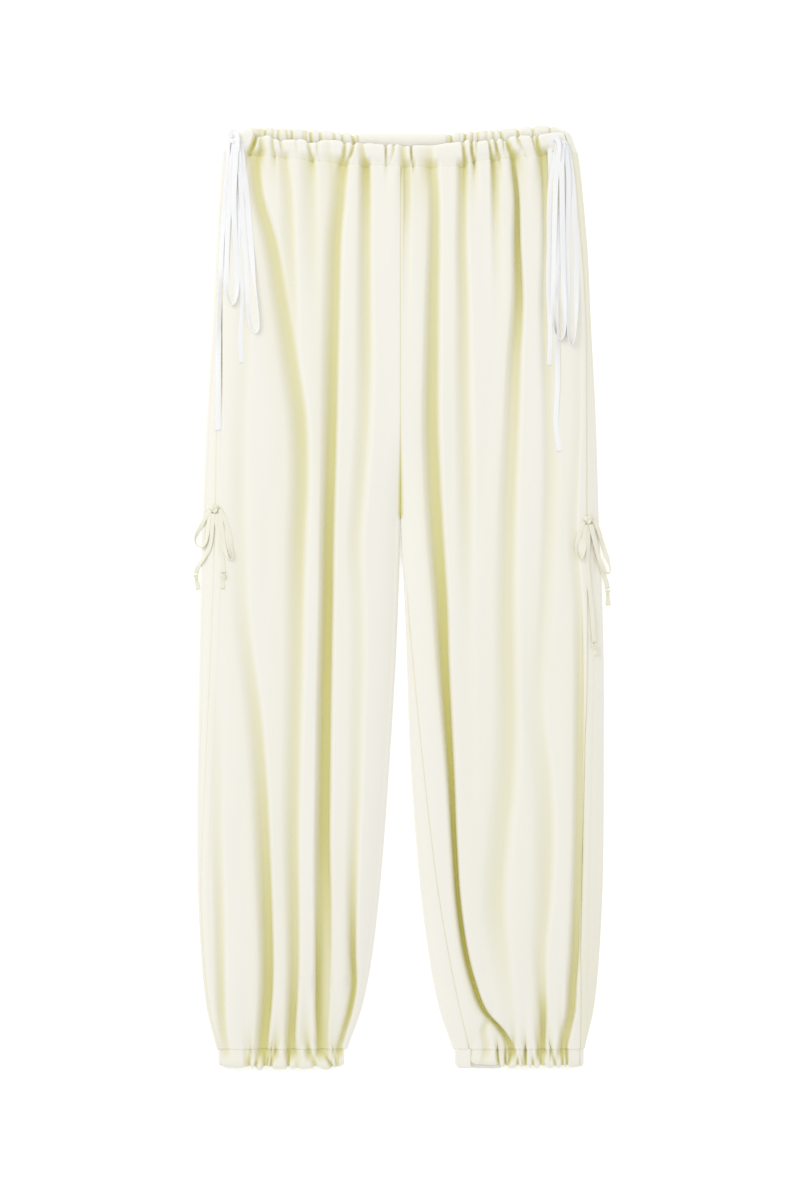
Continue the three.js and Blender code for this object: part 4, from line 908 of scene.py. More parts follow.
def back_grid(side):
    """Points of a back's outer face, from its side seam round to the inseam, and their painted shade."""
    y = PANEL_ROWS[:, None]
    outer, roll = outline(side, "outer", y), outline(side, "roll", y)
    seam = outline(side, "seam", y) + SEAM_GAP / 2
    border = outer - roll
    strip = mix(seam, border, STRIP_SHARES[None, :])
    strip_height, strip_crease, _ = face(side, strip, y)
    at_side = bell(strip - seam, SEAM_HALF)
    half = face(side, border, y)[0] / 2
    turn = (0.5 - np.linspace(0, 1, ROUND_STEPS)[None, 1:]) * math.pi
    round_across = border + roll * np.cos(turn)
    above = y > FORK
    shift = CENTRE_BACK_SHIFT * np.clip((y - FORK) / (WAIST - FORK), 0, 1)
    inner = np.where(above, -sign(side) * shift + SEAM_GAP / 2, outline(side, "inner", y) + INNER_ROLL)
    floor = mix(border, inner, np.linspace(0, 1, FLOOR_STEPS)[None, 1:])
    raised = ease((border - floor) / FLOOR_EASE_OUT) * ease((floor - inner) / FLOOR_EASE_IN)
    level = back_relief(side, floor * sign(side), y) * raised
    wrap = np.where(above, 0, inseam_wrap(side, y))
    length = wrap * WRAP_SHARES[None, 1:]
    wrap_across, wrap_height = inner_point(side, np.broadcast_to(y, length.shape), length)
    at_inseam = bell(wrap - length, SEAM_HALF) * (length > ROUND)
    closing = inner - LAPPED * np.arange(1, length.shape[1] + 1)[None, :] / length.shape[1]
    wrap_across = np.where(above, closing, wrap_across)
    wrap_height = np.where(above, 0, wrap_height - SEAM_DIP * at_inseam)
    across = np.concatenate([strip, round_across, floor, wrap_across], axis=1)
    strip_height = strip_height - SEAM_DIP * at_side
    z = np.concatenate([strip_height, half + half * np.sin(turn), level, wrap_height], axis=1)
    shaded = along(*EDGE_PAINTED_SHADE[side], y)
    strip_tone = np.maximum(strip_crease, SEAM_PAINTED_SHADE * at_side) + shaded
    round_tone = shaded + 0 * round_across
    wrap_tone = np.where(length > ROUND, face(side, np.maximum(wrap_across, 0), y)[1], 0)
    wrap_tone = np.maximum(wrap_tone, INSEAM_PAINTED_SHADE * at_inseam)
    painted_shade = np.concatenate([strip_tone, round_tone, level * BACK_PAINTED_SHADE, wrap_tone], axis=1)
    x = across * sign(side)
    return np.stack([x, row_place(np.broadcast_to(y, x.shape), BACK_SEAM), z], axis=2), painted_shade


def panel(node, grid, painted_shade, downward):
    """A panel from its outer grid. downward says that the grid's normals point into the garment."""
    inward = normals(grid)
    if not downward:
        inward = -inward
    for row in (0, -1):
        inward[row, :, 1] = 0
        inward[row] = unit(inward[row])
    obj = closed_shell(f"cloth_{node}", grid, grid + inward * CLOTH, {"painted_shade": painted_shade})
    return dress(obj, [node], "crepe", CREPE)


for side in ("right", "left"):
    for part, make in (("front", front_grid), ("back", back_grid)):
        grid, painted_shade = make(side)
        panel(f"{part}_{side}", grid, painted_shade, side == "right")


# Casings
CASING_STEP = 0.6  # width of a column
CASING_ROWS = 0.5 - 0.5 * np.cos(np.linspace(0, math.pi, 23))  # 0 at the stitching, 1 at the edge
CASING_LONG = 22.0
LIP_FROM, LIP_HIGH = 0.78, 2.6  # the rounded edge: where it starts and how far it falls
LIP_THIN = 0.3  # least share of the thickness at the edge
NOTCH, NOTCH_SPREAD = 3.9, 2.8  # how far the creases draw the edge in, and how widely
PUFF, CASING_DEEP = 2.4, 4.8  # height of the puffs and depth of the creases
THIN, THICK, THICK_CREASE = 1.3, 3.2, 1.4  # thickness at the seam, in a puff, and less in a crease
# Painted shade in the casings' creases, and the power of the depth that it follows
CASING_CREASE_SHADE, CASING_SHADE_CURVE = 1.25, 1.2
CORNER, CORNER_REACH = 4.0, 3.2  # rounding of a cuff's corner on the inner side
HEM_RISE = 1.4  # how much shorter a back cuff is where it has come round to the front
# Painted shade spread over the cuffs beyond their stitching, and the share of the width over which it
# sets in
CUFF_PAINTED_SHADE, CUFF_SHADE_START = 0.06, 0.2
FLARE, TAPER = 5.4, 2.4  # how far the waist casing's sides lie out at the stitching, and in at the edge
FLARE_FROM, FLARE_REACH = 110.0, 60.0


def pillow(share):
    """Rise of a casing between its stitching and its rounded edge."""
    return np.clip(1 - np.abs(2 * share - 1) ** 2.6, 0, 1) ** 0.6


def notches(table, place):
    """How far the creases draw the edge in between the puffs, 0 to 1."""
    keep = 1.0
    for at_edge, _, deep, _, wide, _, _ in table:
        keep = keep * (1 - deep * (1 - ease(np.abs(place - at_edge) / (wide * NOTCH_SPREAD))))
    return 1 - keep


def rounding(share):
    """Falls from 1 to nearly 0 over a casing's rounded edge."""
    lip = np.clip((share - LIP_FROM) / (1 - LIP_FROM), 0, 1)
    return np.sqrt(1 - 0.98 * lip**2)


def flared(x, share):
    """Place of the waist casing's cloth, drawn in towards its edge at the sides."""
    return x + np.sign(x) * ease((np.abs(x) - FLARE_FROM) / FLARE_REACH) * mix(FLARE, -TAPER, share)


def front_casing(node, across, turn, seam, edge, table, crest, at_seam, seam_tone, settle, dip, even_painted_shade):
    """A casing of the front: puffs between creases, its edge rounded and drawn in at them. settle:
    share of its length over which it takes over from the panel's height and painted shade."""
    share = CASING_ROWS[:, None]
    depth = creases(table, across, share)
    body = crest + PUFF * pillow(share) * (1 - depth) - CASING_DEEP * depth
    body = np.maximum(body, VALLEY)
    top = mix(at_seam, body, ease(share / settle))
    top = top - dip * bell(share * CASING_LONG, SEAM_HALF) - LIP_HIGH * (1 - rounding(share))
    thick = mix(THIN, THICK - THICK_CREASE * depth, pillow(share)) * np.maximum(rounding(share), LIP_THIN)
    drawn = NOTCH * notches(table, across) * np.sign(edge - seam)
    y = mix(seam, edge - drawn, share)
    # painted shade in the creases, taking over from the panel's
    tone = mix(seam_tone, CASING_CREASE_SHADE * depth**CASING_SHADE_CURVE, ease(share / settle))
    # an even painted shade beyond the stitching, used on the cuffs
    tone = tone + even_painted_shade * ease(share / CUFF_SHADE_START)
    outer = np.stack(np.broadcast_arrays(across * turn, y, top), axis=2)
    inner = np.stack(np.broadcast_arrays(across * turn, y, top - thick), axis=2)
    obj = closed_shell(f"cloth_{node}", outer, inner, {"painted_shade": tone})
    return dress(obj, [node], "crepe", CREPE)


def stepped(first, last):
    """Places of a casing's columns."""
    return np.linspace(first, last, int(abs(last - first) / CASING_STEP))


WAIST_LEVEL, CUFF_LEVEL = 490, -497  # where along the leg the casings' outlines are read
WAIST_CREST, CUFF_CREST = (13.2, 10.0, 22), (12.0, 9.0, 10)  # height amid, at the ends, and reach


def casing_crest(across, first, last, amid, at_ends, reach):
    """Height of a front casing, lower towards its ends."""
    return mix(amid, at_ends, np.exp(-np.minimum(across - first, last - across) / reach))


def waist_casing_front():
    first = -outline("right", "seam", WAIST_LEVEL) + SEAM_GAP / 2
    last = outline("left", "seam", WAIST_LEVEL) - SEAM_GAP / 2
    x = stepped(first, last)[None, :]
    crest = casing_crest(x, first, last, *WAIST_CREST)
    sewn = flared(x, 0)
    height, tone = waist_height(sewn)
    edge = along(FRONT_ACROSS, FRONT_EDGE, flared(x, 1)) + 1.0
    return front_casing(
        "waist_casing_front", flared(x, CASING_ROWS[:, None]), 1, waist_seam(sewn) + SEAM_GAP / 2, edge,
        WAIST_CREASES, crest, height, tone, 0.5, WAIST_DIP, 0.0,
    )


def ankle_casing_front(side):
    level = CUFF_LEVEL
    inner_end = outline(side, "inner", level) + 1 if side == "right" else outline(side, "inseam", level)
    first, last = inner_end + SEAM_GAP / 2, outline(side, "seam", level) - SEAM_GAP / 2
    across = stepped(first, last)[None, :]
    crest = casing_crest(across, first, last, *CUFF_CREST)
    height, tone, _ = face(side, across, ANKLE)
    edge = along(*HEM_EDGE[side], across) - 0.8
    return front_casing(
        f"ankle_casing_{side}_front", across, sign(side), ANKLE - SEAM_GAP / 2, edge,
        ANKLE_CREASES[side], crest, height, tone, 0.85, ANKLE_DIP, CUFF_PAINTED_SHADE,
    )


TURNED_UP = 5  # height at which a back casing counts as turned up
BACK_THIN, BACK_SUNK = 1.4, 0.2
WAIST_PLUMP, CUFF_PLUMP = 3.6, 2.6  # thickness of the puffs
CUFF_SHIFT = 4  # a back cuff's creases lie this far outward of the front's


def wrapped_casing(node, course, turn, seam, edge, table, plump, flares=False):
    """A casing that follows a course across and up: along the surface and round the edges."""
    across, height = (row[None, :] for row in course)
    ways = unit(np.stack([np.gradient(course[0]), np.gradient(course[1])], axis=1))
    inward = np.stack([-ways[:, 1], ways[:, 0]], axis=1)
    if inward[len(inward) // 2, 1] < 0:
        inward = -inward
    share = CASING_ROWS[:, None]
    low = 1 - ease(height / TURNED_UP)
    if flares:
        across = flared(across, share)
    depth = creases(table, across, share) * mix(0.45, 1, low)
    thick = (BACK_THIN + plump * (1 - depth) * pillow(share)) * np.maximum(rounding(share), LIP_THIN)
    sunk = BACK_SUNK + 0.9 * depth * pillow(share) + 1.2 * (1 - rounding(share))
    drawn = NOTCH * notches(table, across) * np.sign(edge - seam) * low
    y = mix(seam, edge - drawn, share) + 0 * across
    grids = []
    for reach in (sunk, sunk + thick):
        moved = across + inward[:, 0] * reach
        grids.append(np.stack([moved * turn, y, height + inward[:, 1] * reach], axis=2))
    # painted shade in the creases
    tone = CASING_CREASE_SHADE * depth**CASING_SHADE_CURVE + 0 * share
    obj = closed_shell(f"cloth_{node}", grids[0], grids[1], {"painted_shade": tone})
    return dress(obj, [node], "crepe", CREPE)


def end_turn(side, level, roll, high, steps):
    """Course of a back casing from the side seam round the outer edge down to the floor."""
    outer = outline(side, "outer", level)
    seam = outline(side, "seam", level) + SEAM_GAP / 2
    turn = (0.5 - np.linspace(0, 1, steps)) * math.pi
    strip = np.linspace(seam, outer - roll, 7)[:-1]
    across = np.concatenate([strip, outer - roll + roll * np.cos(turn)])
    height = np.concatenate([np.full(len(strip), high), high / 2 + high / 2 * np.sin(turn)])
    return across, height


def waist_casing_back():
    level, roll, high = WAIST_LEVEL, 4.5, 10.0
    right_x, right_z = end_turn("right", level, roll, high, 14)
    left_x, left_z = end_turn("left", level, roll, high, 14)
    floor_x = stepped(-right_x[-1], left_x[-1])[1:-1]
    x = np.concatenate([-right_x, floor_x, left_x[::-1]])
    z = np.concatenate([right_z, np.zeros(len(floor_x)), left_z[::-1]])
    edge = along(ACROSS, BACK_EDGE, x[None, :]) + 0.8
    return wrapped_casing(
        "waist_casing_back", (x, z), 1, BACK_SEAM + SEAM_GAP / 2, edge, WAIST_BACK_CREASES, WAIST_PLUMP,
        flares=True,
    )


def ankle_casing_back(side):
    level, roll, high = CUFF_LEVEL, 3.4, 8.6
    outer_x, outer_z = end_turn(side, level, roll, high, 12)
    inner = outline(side, "inner", level)
    inner_end = inner + 1 if side == "right" else inner + roll
    floor_x = stepped(outer_x[-1], inner_end)[1:]
    across, height = [outer_x, floor_x], [outer_z, np.zeros(len(floor_x))]
    if side == "left":
        turn = (np.linspace(0, 1, 14)[1:] - 0.5) * math.pi
        end = outline(side, "inseam", level) - SEAM_GAP / 2
        across += [inner + roll - roll * np.cos(turn), np.linspace(inner + roll, end, 16)[1:]]
        height += [high / 2 + high / 2 * np.sin(turn), high + 2.4 * ease(np.linspace(0, 1, 16)[1:])]
    table = [(row[0] + CUFF_SHIFT, row[1] + CUFF_SHIFT, *row[2:]) for row in ANKLE_CREASES[side]]
    across, height = np.concatenate(across), np.concatenate(height)
    edge = along(*BACK_HEM[side], across) + CORNER * bell(across - inner, CORNER_REACH)
    edge = (edge + HEM_RISE * ease(height / TURNED_UP))[None, :]
    return wrapped_casing(
        f"ankle_casing_{side}_back", (across, height), sign(side), ANKLE - SEAM_GAP / 2, edge, table,
        CUFF_PLUMP,
    )


waist_casing_front()
waist_casing_back()
for side in ("right", "left"):
    ankle_casing_front(side)
    ankle_casing_back(side)


# Tapes and ties
TAPE_WIDE, TAPE_THICK = 6.0, 0.8
TIE_WIDE, TIE_THICK = 5.2, 1.2
LAYER = 0.8  # height of one layer of tape over another
# Painted shade over the crepe ties, more on their knots; the waist tapes' material does not read it
STRAND_PAINTED_SHADE, KNOT_PAINTED_SHADE = 0.15, 0.22
# x, y and layer of each strand's points. layer: 0 on the cloth, more where it lies on others.
ROUTES = {
    "waist_end_right_a": [
        [-182, 491.0, 1.2], [-184.5, 476, 0.5], [-187, 452, 0], [-190, 420, 0], [-192.5, 385, 0],
        [-194, 343, 0], [-195.5, 300, 0], [-196.5, 257, 0], [-196.5, 213, 0], [-196.5, 180, 0],
    ],
    "waist_loop_right_a": [
        [-179, 491.0, 3.5], [-181.5, 470, 2.6], [-184, 430, 1.4], [-186.5, 390, 0.8], [-187.5, 350, 0.2],
        [-186.5, 325, 0], [-183, 315.5, 0.2], [-178.5, 318, 0.3], [-176.5, 332, 0.2], [-176, 358, 0.2],
        [-178.5, 395, 1.2], [-179.5, 430, 2.6], [-177.8, 470, 4.6], [-177, 491.5, 4.8],
    ],
    "waist_loop_right_b": [
        [-175, 491.0, 3.4], [-173, 462, 2.6], [-171, 430, 1.2], [-168.5, 390, 0.3], [-165, 340, 0],
        [-163, 305, 0], [-160, 290, 0], [-156, 285.5, 0.2], [-152.8, 291, 0.4], [-153.5, 310, 0.3],
        [-158, 345, 0.2], [-162, 395, 0.2], [-166, 440, 1.2], [-170, 470, 1.9], [-172.6, 491.5, 1.4],
    ],
    "waist_end_right_b": [
        [-177.6, 491.0, 1.0], [-178, 468, 0.3], [-176, 440, 0], [-174.8, 400, 0], [-175, 375, 0],
        [-172, 352, 0], [-171.5, 320, 0], [-172, 285, 0], [-170.5, 252.5, 0],
    ],
    "waist_end_left_a": [
        [170, 487.5, 1.4], [166, 472, 0.6], [162, 450, 0.1], [160.5, 415, 0], [160, 375, 0],
        [160, 330, 0], [161.5, 280, 0], [161, 250, 0],
    ],
    "waist_loop_left_a": [
        [171.5, 487.5, 3.6], [167.5, 450, 2.6], [166.2, 407, 1.6], [165.2, 365, 0.8], [164.8, 322, 0.2],
        [166, 290, 0.1], [171, 277.5, 0.2], [176.5, 284, 0.3], [177, 305, 0.4], [175.6, 343, 1.4],
        [174.8, 386, 2.6], [174.2, 430, 3.2], [173.8, 465, 4.0], [174, 487.5, 4.8],
    ],
    "waist_loop_left_b": [
        [177.5, 487.5, 3.4], [181, 452, 2.0], [180.5, 410, 0.6], [179.8, 375, 0.3], [180.5, 335, 0.1],
        [180.5, 300, 0.1], [181, 280, 0.2], [184, 271.5, 0.3], [188, 283, 0.2], [189.5, 320, 0],
        [190, 360, 0], [188.5, 400, 0], [186.5, 440, 0.2], [183, 470, 0.8], [179.5, 487.8, 1.2],
    ],
    "waist_end_left_b": [
        [175, 487.5, 1.2], [173.5, 465, 0.4], [171, 430, 0], [170, 385, 0], [169.8, 330, 0],
        [169.8, 305, 0.8], [169.5, 277, 2.0], [169, 252, 0.8], [169, 224, 0], [167.5, 192, 0],
        [169, 172, 0], [171.5, 157, 0],
    ],
    "thigh_loop_right_a": [
        [-204.6, 94.5, 1.4], [-210, 87, 1.2], [-216, 76, 2.4], [-221.5, 64, 5.4], [-220, 56.5, 5.4],
        [-213.5, 55, 1.6], [-209.5, 62, 0.4], [-207.4, 76, 0.4], [-205.6, 91.6, 0.6],
    ],
    "thigh_loop_right_b": [
        [-195.4, 95, 1.2], [-189, 84, 0.4], [-183, 62, 0.2], [-180, 44, 0.2], [-184.5, 40.5, 0.2],
        [-189.5, 52, 0.2], [-192.4, 74, 0.2], [-195.2, 91.4, 0.6],
    ],
    "thigh_end_right_a": [
        [-201.9, 90.8, 0.6], [-203.4, 72, 0.1], [-206, 54, 0.1], [-213, 42, 0.8], [-218.6, 33, 4.6],
        [-221, 26.4, 2.4],
    ],
    "thigh_end_right_b": [
        [-198.5, 90.8, 0.6], [-197.2, 76, 0.1], [-195, 57, 0.1], [-191.5, 38, 0.1], [-190.6, 26.4, 0.8],
    ],
    "thigh_loop_left_a": [
        [197.2, 82, 1.2], [193.4, 70, 0.2], [190, 53, 0.2], [192.4, 41.5, 0.2], [196.4, 45, 0.2],
        [198, 60, 0.2], [199.4, 78.6, 0.6],
    ],
    "thigh_loop_left_b": [
        [207.8, 84.5, 1.6], [213.5, 73, 3.0], [219.5, 53, 7.2], [226.5, 31, 7.7], [224.5, 26, 7.7],
        [219.5, 30, 8.2], [213.2, 46, 3.8], [208.5, 64, 3.4], [205.2, 79, 3.0],
    ],
    "thigh_end_left_a": [
        [203, 78.8, 0.6], [202.4, 62, 0.4], [201.6, 40, 0.1], [203, 17, 0.1], [206.5, -14, 0.1],
        [208.8, -48.6, 0.8],
    ],
    "thigh_end_left_b": [
        [206.6, 79.2, 0.6], [210, 62, 0.1], [214, 44, 0.1], [217.4, 30, 2.4], [221.6, 19, 4.4],
        [223.8, 9.6, 1.6],
    ],
}
# Share of the way along a strand where it stands on its edge, and over what share
ON_EDGE = {
    "waist_loop_right_a": (0.49, 0.05), "waist_loop_right_b": (0.56, 0.12),
    "waist_loop_left_a": (0.5, 0.1), "waist_loop_left_b": (0.51, 0.1),
    "waist_end_left_b": (0.55, 0.12),
    "thigh_loop_right_a": (0.5, 0.2), "thigh_loop_right_b": (0.48, 0.14),
    "thigh_loop_left_a": (0.5, 0.2), "thigh_loop_left_b": (0.48, 0.12),
}
# Knots: middle's x, y and height over the cloth, then width, length and height
KNOTS = {
    "waist_knot_right": (-177.5, 491, 3.2, 11.5, 10, 5.6),
    "waist_knot_left": (174.5, 488, 3.2, 11.5, 10, 5.6),
    "thigh_knot_right": (-200, 96, 3.2, 9, 9, 5),
    "thigh_knot_left": (202.5, 84, 3.2, 9, 9, 5),
    "thigh_end_knot_right_a": (-221.5, 23, 2.6, 5.5, 5.5, 4.4),
    "thigh_end_knot_right_b": (-190.5, 23, 2.6, 5.5, 5.5, 4.4),
    "thigh_end_knot_left_a": (209, -52, 2.6, 5.5, 5.5, 4.4),
    "thigh_end_knot_left_b": (224, 6, 2.6, 5.5, 5.5, 4.4),
}
# Loose tails beyond the end knots: far end's x and y
TAILS = {
    "thigh_end_knot_right_a": (-218.7, 8.5), "thigh_end_knot_right_b": (-192.5, 9.5),
    "thigh_end_knot_left_a": (210.5, -62.5), "thigh_end_knot_left_b": (224.6, -8.5),
}
# Tape folded over above the waist knots: x, y and height over the cloth
ARCHES = {
    "waist_knot_right": [
        [-185.6, 462, 0.3], [-186, 478, 2.4], [-185, 495, 4.4], [-180.5, 503.2, 5.4],
        [-175.9, 497, 6.0], [-175.4, 485, 5.0], [-177, 468, 0.8],
    ],
    "waist_knot_left": [
        [162.4, 450, 0.3], [161.2, 472, 2.4], [161.6, 489, 4.2], [165.8, 496.6, 5.2],
        [170.4, 490, 6.0], [170.6, 477, 4.8], [168.4, 458, 0.8],
    ],
}


def cloth_height(x, y):
    """Height of whatever cloth lies uppermost at a place, 0 beside the garment."""
    x, y = np.asarray(x, float), np.asarray(y, float)
    heights = []
    for side in ("right", "left"):
        across = x * sign(side)
        outer = outline(side, "outer", y)
        heights.append(np.where(across > outer, 0, top_height(side, np.maximum(across, 0), y)))
    return np.where(x < 0, heights[0], heights[1])


def even_path(dense, spacing):
    """The same course with evenly spaced points."""
    gone = np.concatenate([[0], np.cumsum(np.linalg.norm(np.diff(dense, axis=0), axis=1))])
    even = np.linspace(0, gone[-1], max(6, int(gone[-1] / spacing) + 1))
    return np.stack([np.interp(even, gone, dense[:, k]) for k in range(dense.shape[1])], axis=1)


def smooth_path(points, spacing):
    """Points spaced evenly along a smooth curve through the given ones."""
    points = np.asarray(points, float)
    chord = np.concatenate([[0], np.cumsum(np.sqrt(np.linalg.norm(np.diff(points, axis=0), axis=1)))])
    fine = np.linspace(0, chord[-1], 60 * len(points))
    return even_path(np.stack([along(chord, points[:, k], fine) for k in range(3)], axis=1), spacing)


def smoothed(values, times):
    for _ in range(times):
        ends = np.concatenate([values[:1], values, values[-1:]])
        values = 0.25 * ends[:-2] + 0.5 * ends[1:-1] + 0.25 * ends[2:]
    return values


RIB_TURN = 9.0  # radians of the ribs' wave in each millimetre of width


def strip_mesh(path, side_way, up_way, wide, thick, sides=14):
    """Points, faces and ribs of a flat tape round a path."""
    turn = np.linspace(0, 2 * math.pi, sides, endpoint=False)
    out = np.sign(np.cos(turn)) * np.abs(np.cos(turn)) ** 0.55 / 2
    up = np.sign(np.sin(turn)) * np.abs(np.sin(turn)) ** 0.75 / 2
    wide = np.broadcast_to(wide, len(path))[:, None] * out
    thick = np.broadcast_to(thick, len(path))[:, None] * up
    rings = path[:, None] + side_way[:, None] * wide[:, :, None] + up_way[:, None] * thick[:, :, None]
    return rings.reshape(-1, 3), tube_faces(len(path), sides), (wide * RIB_TURN).ravel()


def ribbon_frame(path, twist):
    """Side and up directions along a path, turned by twist in radians."""
    tangent = unit(np.gradient(path, axis=0))
    over = unit(np.cross(tangent, [0, 0, 1]))
    up = np.cross(over, tangent)
    side_way = over * np.cos(twist)[:, None] + up * np.sin(twist)[:, None]
    up_way = up * np.cos(twist)[:, None] - over * np.sin(twist)[:, None]
    return side_way, up_way


STRAND_STEP = 2.0
STEEPEST = 0.5  # largest tilt of a tape that lies on a slope, in radians
UPRIGHT = 1.35  # turn of a tape that stands on its edge
SWAY, SWAY_TURN = 0.12, 17  # a tape's slight roll from side to side
OVER_CLOTH = 0.25


def laid_strand(name, wide, thick):
    """Path and twist of a tape that lies over the cloth."""
    plan = smooth_path(ROUTES[name], STRAND_STEP)
    x, y, layer = plan.T
    share = np.linspace(0, 1, len(plan))
    edge, spread = ON_EDGE.get(name, (0.5, 0.0))
    upright = bell(share - edge, spread) if spread else np.zeros(len(plan))
    reach = wide / 2 * 0.8
    tangent = unit(np.gradient(plan[:, :2], axis=0))
    across = np.stack([tangent[:, 1], -tangent[:, 0]], axis=1) * reach
    left = cloth_height(x - across[:, 0], y - across[:, 1])
    right = cloth_height(x + across[:, 0], y + across[:, 1])
    middle = cloth_height(x, y)
    highest = np.maximum(left, right)
    tilt = np.clip(smoothed(np.arctan2(right - left, 2 * reach), 6), -STEEPEST, STEEPEST)
    flat = np.maximum(highest * 0.6 + 0.4 * middle, middle) + thick / 2 + OVER_CLOTH
    stand = np.maximum(highest, middle) + wide / 2 * 0.9
    z = smoothed(mix(flat, np.maximum(stand, flat), upright) + LAYER * layer, 4)
    sway = SWAY * np.sin(share * SWAY_TURN + len(name)) * (1 - upright)
    return np.stack([x, y, z], axis=1), tilt * (1 - upright) + upright * UPRIGHT + sway


def joined(parts):
    """Points, faces and ribs of several strips as one."""
    points, faces, ribs, count = [], [], [], 0
    for part_points, part_faces, part_ribs in parts:
        faces += [[corner + count for corner in face_corners] for face_corners in part_faces]
        points.append(part_points)
        ribs.append(part_ribs)
        count += len(part_points)
    return np.concatenate(points), faces, np.concatenate(ribs)


KNOT_BODY, KNOT_REACH = 0.36, 1.15  # thickness of a knot's tape and reach of its turns


def knot_wraps(wide, long_, high, middle):
    """A small knot: a closed interlaced course of thick soft tape."""
    turn = np.linspace(0, 2 * math.pi, 120)
    body = min(wide, long_) * KNOT_BODY
    x = (np.sin(turn) + 2 * np.sin(2 * turn)) / 3 * (wide - body) / 2 * KNOT_REACH
    y = (np.cos(turn) - 2 * np.cos(2 * turn)) / 3 * (long_ - body) / 2 * KNOT_REACH
    z = -np.sin(3 * turn) * (high - body * 0.8) / 2
    path = np.stack([x, y, z], axis=1) + middle
    side_way, up_way = ribbon_frame(path, 0.35 * np.sin(2 * turn))
    return strip_mesh(path, side_way, up_way, body, body * 0.72, 12)


def knot_tail(start, end, wide, thick):
    """Loose end of a tie beyond its knot, opening out a little."""
    share = np.linspace(0, 1, 9)
    plan = np.array(start)[None, :] + (np.array(end) - np.array(start))[None, :] * share[:, None]
    z = smoothed(cloth_height(plan[:, 0], plan[:, 1]) + thick, 3)
    z[0] += 1.0
    path = np.stack([plan[:, 0], plan[:, 1], z], axis=1)
    side_way, up_way = ribbon_frame(path, 0.3 * np.cos(3 * share))
    return strip_mesh(path, side_way, up_way, wide * (0.55 + 0.6 * share), thick)


def folded_tape(points):
    """Tape that comes up out of the casing, folds over and runs down again."""
    plan = smooth_path(points, 1.5)
    z = smoothed(cloth_height(plan[:, 0], plan[:, 1]) + plan[:, 2], 4)
    path = np.stack([plan[:, 0], plan[:, 1], z], axis=1)
    share = np.linspace(0, 1, len(path))
    side_way, up_way = ribbon_frame(path, 0.5 * np.sin(2 * math.pi * share))
    wide = TAPE_WIDE * mix(0.8, 0.95, bell(share - 0.5, 0.2))
    return strip_mesh(path, side_way, up_way, wide, TAPE_THICK)


def add_knot(name, material, slot):
    x, y, rise, wide, long_, high = KNOTS[name]
    middle = np.array([x, y, float(cloth_height(x, y)) + rise])
    parts = [knot_wraps(wide, long_, high, middle)]
    if name in ARCHES:
        parts.append(folded_tape(ARCHES[name]))
    if name in TAILS:
        parts.append(knot_tail((x, y), TAILS[name], TIE_WIDE, TIE_THICK))
    points, faces, rib = joined(parts)
    tone = {"rib": rib, "painted_shade": np.full(len(points), KNOT_PAINTED_SHADE)}
    return dress(new_mesh(f"soft_{name}", points, faces, tone), [name], slot, material)


for name in KNOTS:
    waist = name.startswith("waist")
    add_knot(name, TAPE if waist else CREPE, "drawstring" if waist else "tie")

for name in ROUTES:
    waist = name.startswith("waist")
    wide, thick = (TAPE_WIDE, TAPE_THICK) if waist else (TIE_WIDE, TIE_THICK)
    path, twist = laid_strand(name, wide, thick)
    points, faces, rib = strip_mesh(path, *ribbon_frame(path, twist), wide, thick)
    tone = {"rib": rib, "painted_shade": np.full(len(points), STRAND_PAINTED_SHADE)}
    obj = new_mesh(f"soft_{name}", points, faces, tone)
    dress(obj, [name], "drawstring" if waist else "tie", TAPE if waist else CREPE)


# Stitching
STITCH_LONG, STITCH_PITCH, STITCH_WIDE = 2.0, 3.1, 0.34
STITCH_SIDES = 6
STITCH_RINGS = [(-0.5, 0.35), (-0.3, 1.0), (0.3, 1.0), (0.5, 0.35)]  # place along it, and fullness
WAIST_RISE, ANKLE_RISE, CHANNEL_RISE = 0.12, -0.04, 0.05  # height of the threads over the cloth


def stitch_row(name, line):
    """A row of short stitches along a line that lies on the cloth."""
    path = even_path(line, STITCH_PITCH)
    tangent = unit(np.gradient(path, axis=0))
    side_way = np.cross(tangent, [0, 0, 1])
    up_way = np.cross(side_way, tangent)
    turn = np.linspace(0, 2 * math.pi, STITCH_SIDES, endpoint=False)
    rings = []
    for share, full in STITCH_RINGS:
        out = full * STITCH_WIDE / 2
        rings.append(
            path[:, None] + tangent[:, None] * share * STITCH_LONG
            + side_way[:, None] * (np.cos(turn) * out)[None, :, None]
            + up_way[:, None] * (np.sin(turn) * out)[None, :, None]
        )
    points = np.stack(rings, axis=1).reshape(-1, 3)
    one = tube_faces(len(rings), STITCH_SIDES)
    firsts = range(0, len(points), len(rings) * STITCH_SIDES)
    faces = [[corner + first for corner in corners] for first in firsts for corners in one]
    obj = new_mesh(name, points, faces, {"rib": np.zeros(len(points))})
    return dress(obj, [], "crepe", THREAD)


def waist_stitching():
    x = np.linspace(-180, 180, 400)
    high = waist_height(x)[0] - WAIST_DIP
    return np.stack([x, waist_seam(x) + 0.2, high + WAIST_RISE], axis=1)


def ankle_stitching(side):
    start = outline(side, "inner" if side == "right" else "inseam", ANKLE) + 3
    across = np.linspace(start, outline(side, "seam", ANKLE) - 2, 160)
    high = face(side, across, ANKLE)[0] - ANKLE_DIP
    return np.stack([across * sign(side), np.full(len(across), ANKLE), high + ANKLE_RISE], axis=1)


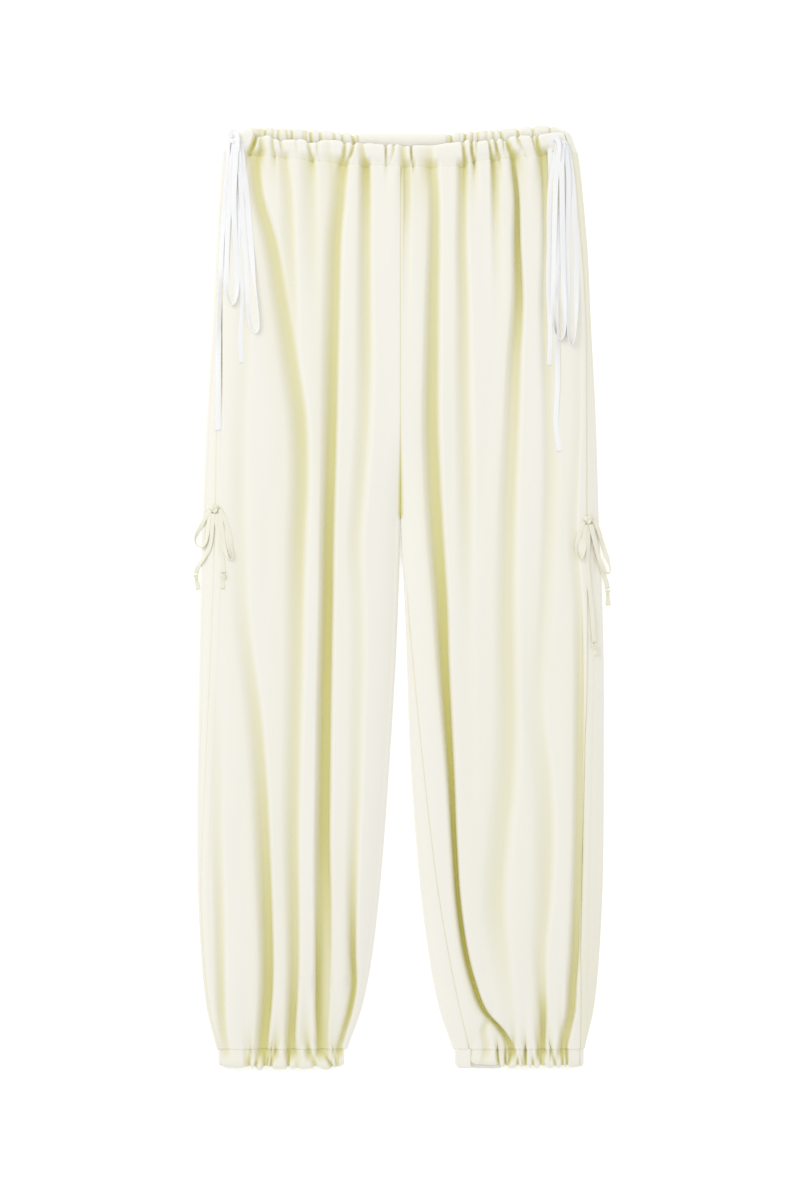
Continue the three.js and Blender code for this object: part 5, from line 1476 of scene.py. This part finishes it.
def channel_stitching(side, way):
    y = np.linspace(CHANNEL_FROM - 14, ANKLE + 3, 420)
    across = outline(side, "seam", y) + way * CHANNEL_HALF
    across = np.minimum(across, outline(side, "outer", y) - 1.6)
    return np.stack([across * sign(side), y, top_height(side, across, y) + CHANNEL_RISE], axis=1)


stitch_row("waist_stitching", waist_stitching())
for side in ("right", "left"):
    stitch_row(f"ankle_stitching_{side}", ankle_stitching(side))
    for place, way in (("inner", -1), ("outer", 1)):
        stitch_row(f"channel_stitching_{side}_{place}", channel_stitching(side, way))


# Floor and light, in metres
FLOOR_HALF, FLOOR_UNDER = 6.0, 0.0002
FLOOR_GLOW, SKY_STRENGTH = 0.28, 0.862
KEY_PLACE, KEY_SIZE, KEY_POWER = (-2.0, 1.9, 2.4), (1.8, 1.8), 28


def add_floor():
    mesh = bpy.data.meshes.new("floor")
    half = FLOOR_HALF
    corners = [(-half, -half, 0), (half, -half, 0), (half, half, 0), (-half, half, 0)]
    mesh.from_pydata(corners, [], [(0, 1, 2, 3)])
    obj = linked("floor", mesh)
    obj.location.z = -FLOOR_UNDER
    material, tree, shader = node_material("pale_floor")
    shader.inputs["Base Color"].default_value = (0.96, 0.96, 0.96, 1)
    shader.inputs["Roughness"].default_value = 0.9
    shader.inputs["Specular IOR Level"].default_value = 0.0
    shader.inputs["Emission Color"].default_value = (1, 1, 1, 1)
    shader.inputs["Emission Strength"].default_value = FLOOR_GLOW
    obj.data.materials.append(material)


def add_area(name, place, size, power):
    light = bpy.data.lights.new(name, "AREA")
    light.shape = "RECTANGLE"
    light.size, light.size_y = size
    light.energy = power
    obj = linked(name, light)
    obj.location = place
    obj.rotation_euler = (-Vector(place)).to_track_quat("-Z", "Y").to_euler()


def add_world():
    world = bpy.data.worlds.new("studio")
    world.use_nodes = True
    world.node_tree.nodes["Background"].inputs["Color"].default_value = (1, 1, 1, 1)
    world.node_tree.nodes["Background"].inputs["Strength"].default_value = SKY_STRENGTH
    bpy.context.scene.world = world


add_floor()
add_world()
add_area("key", KEY_PLACE, KEY_SIZE, KEY_POWER)

scene = bpy.context.scene
scene.view_settings.view_transform = "Standard"
scene.view_settings.look = "None"
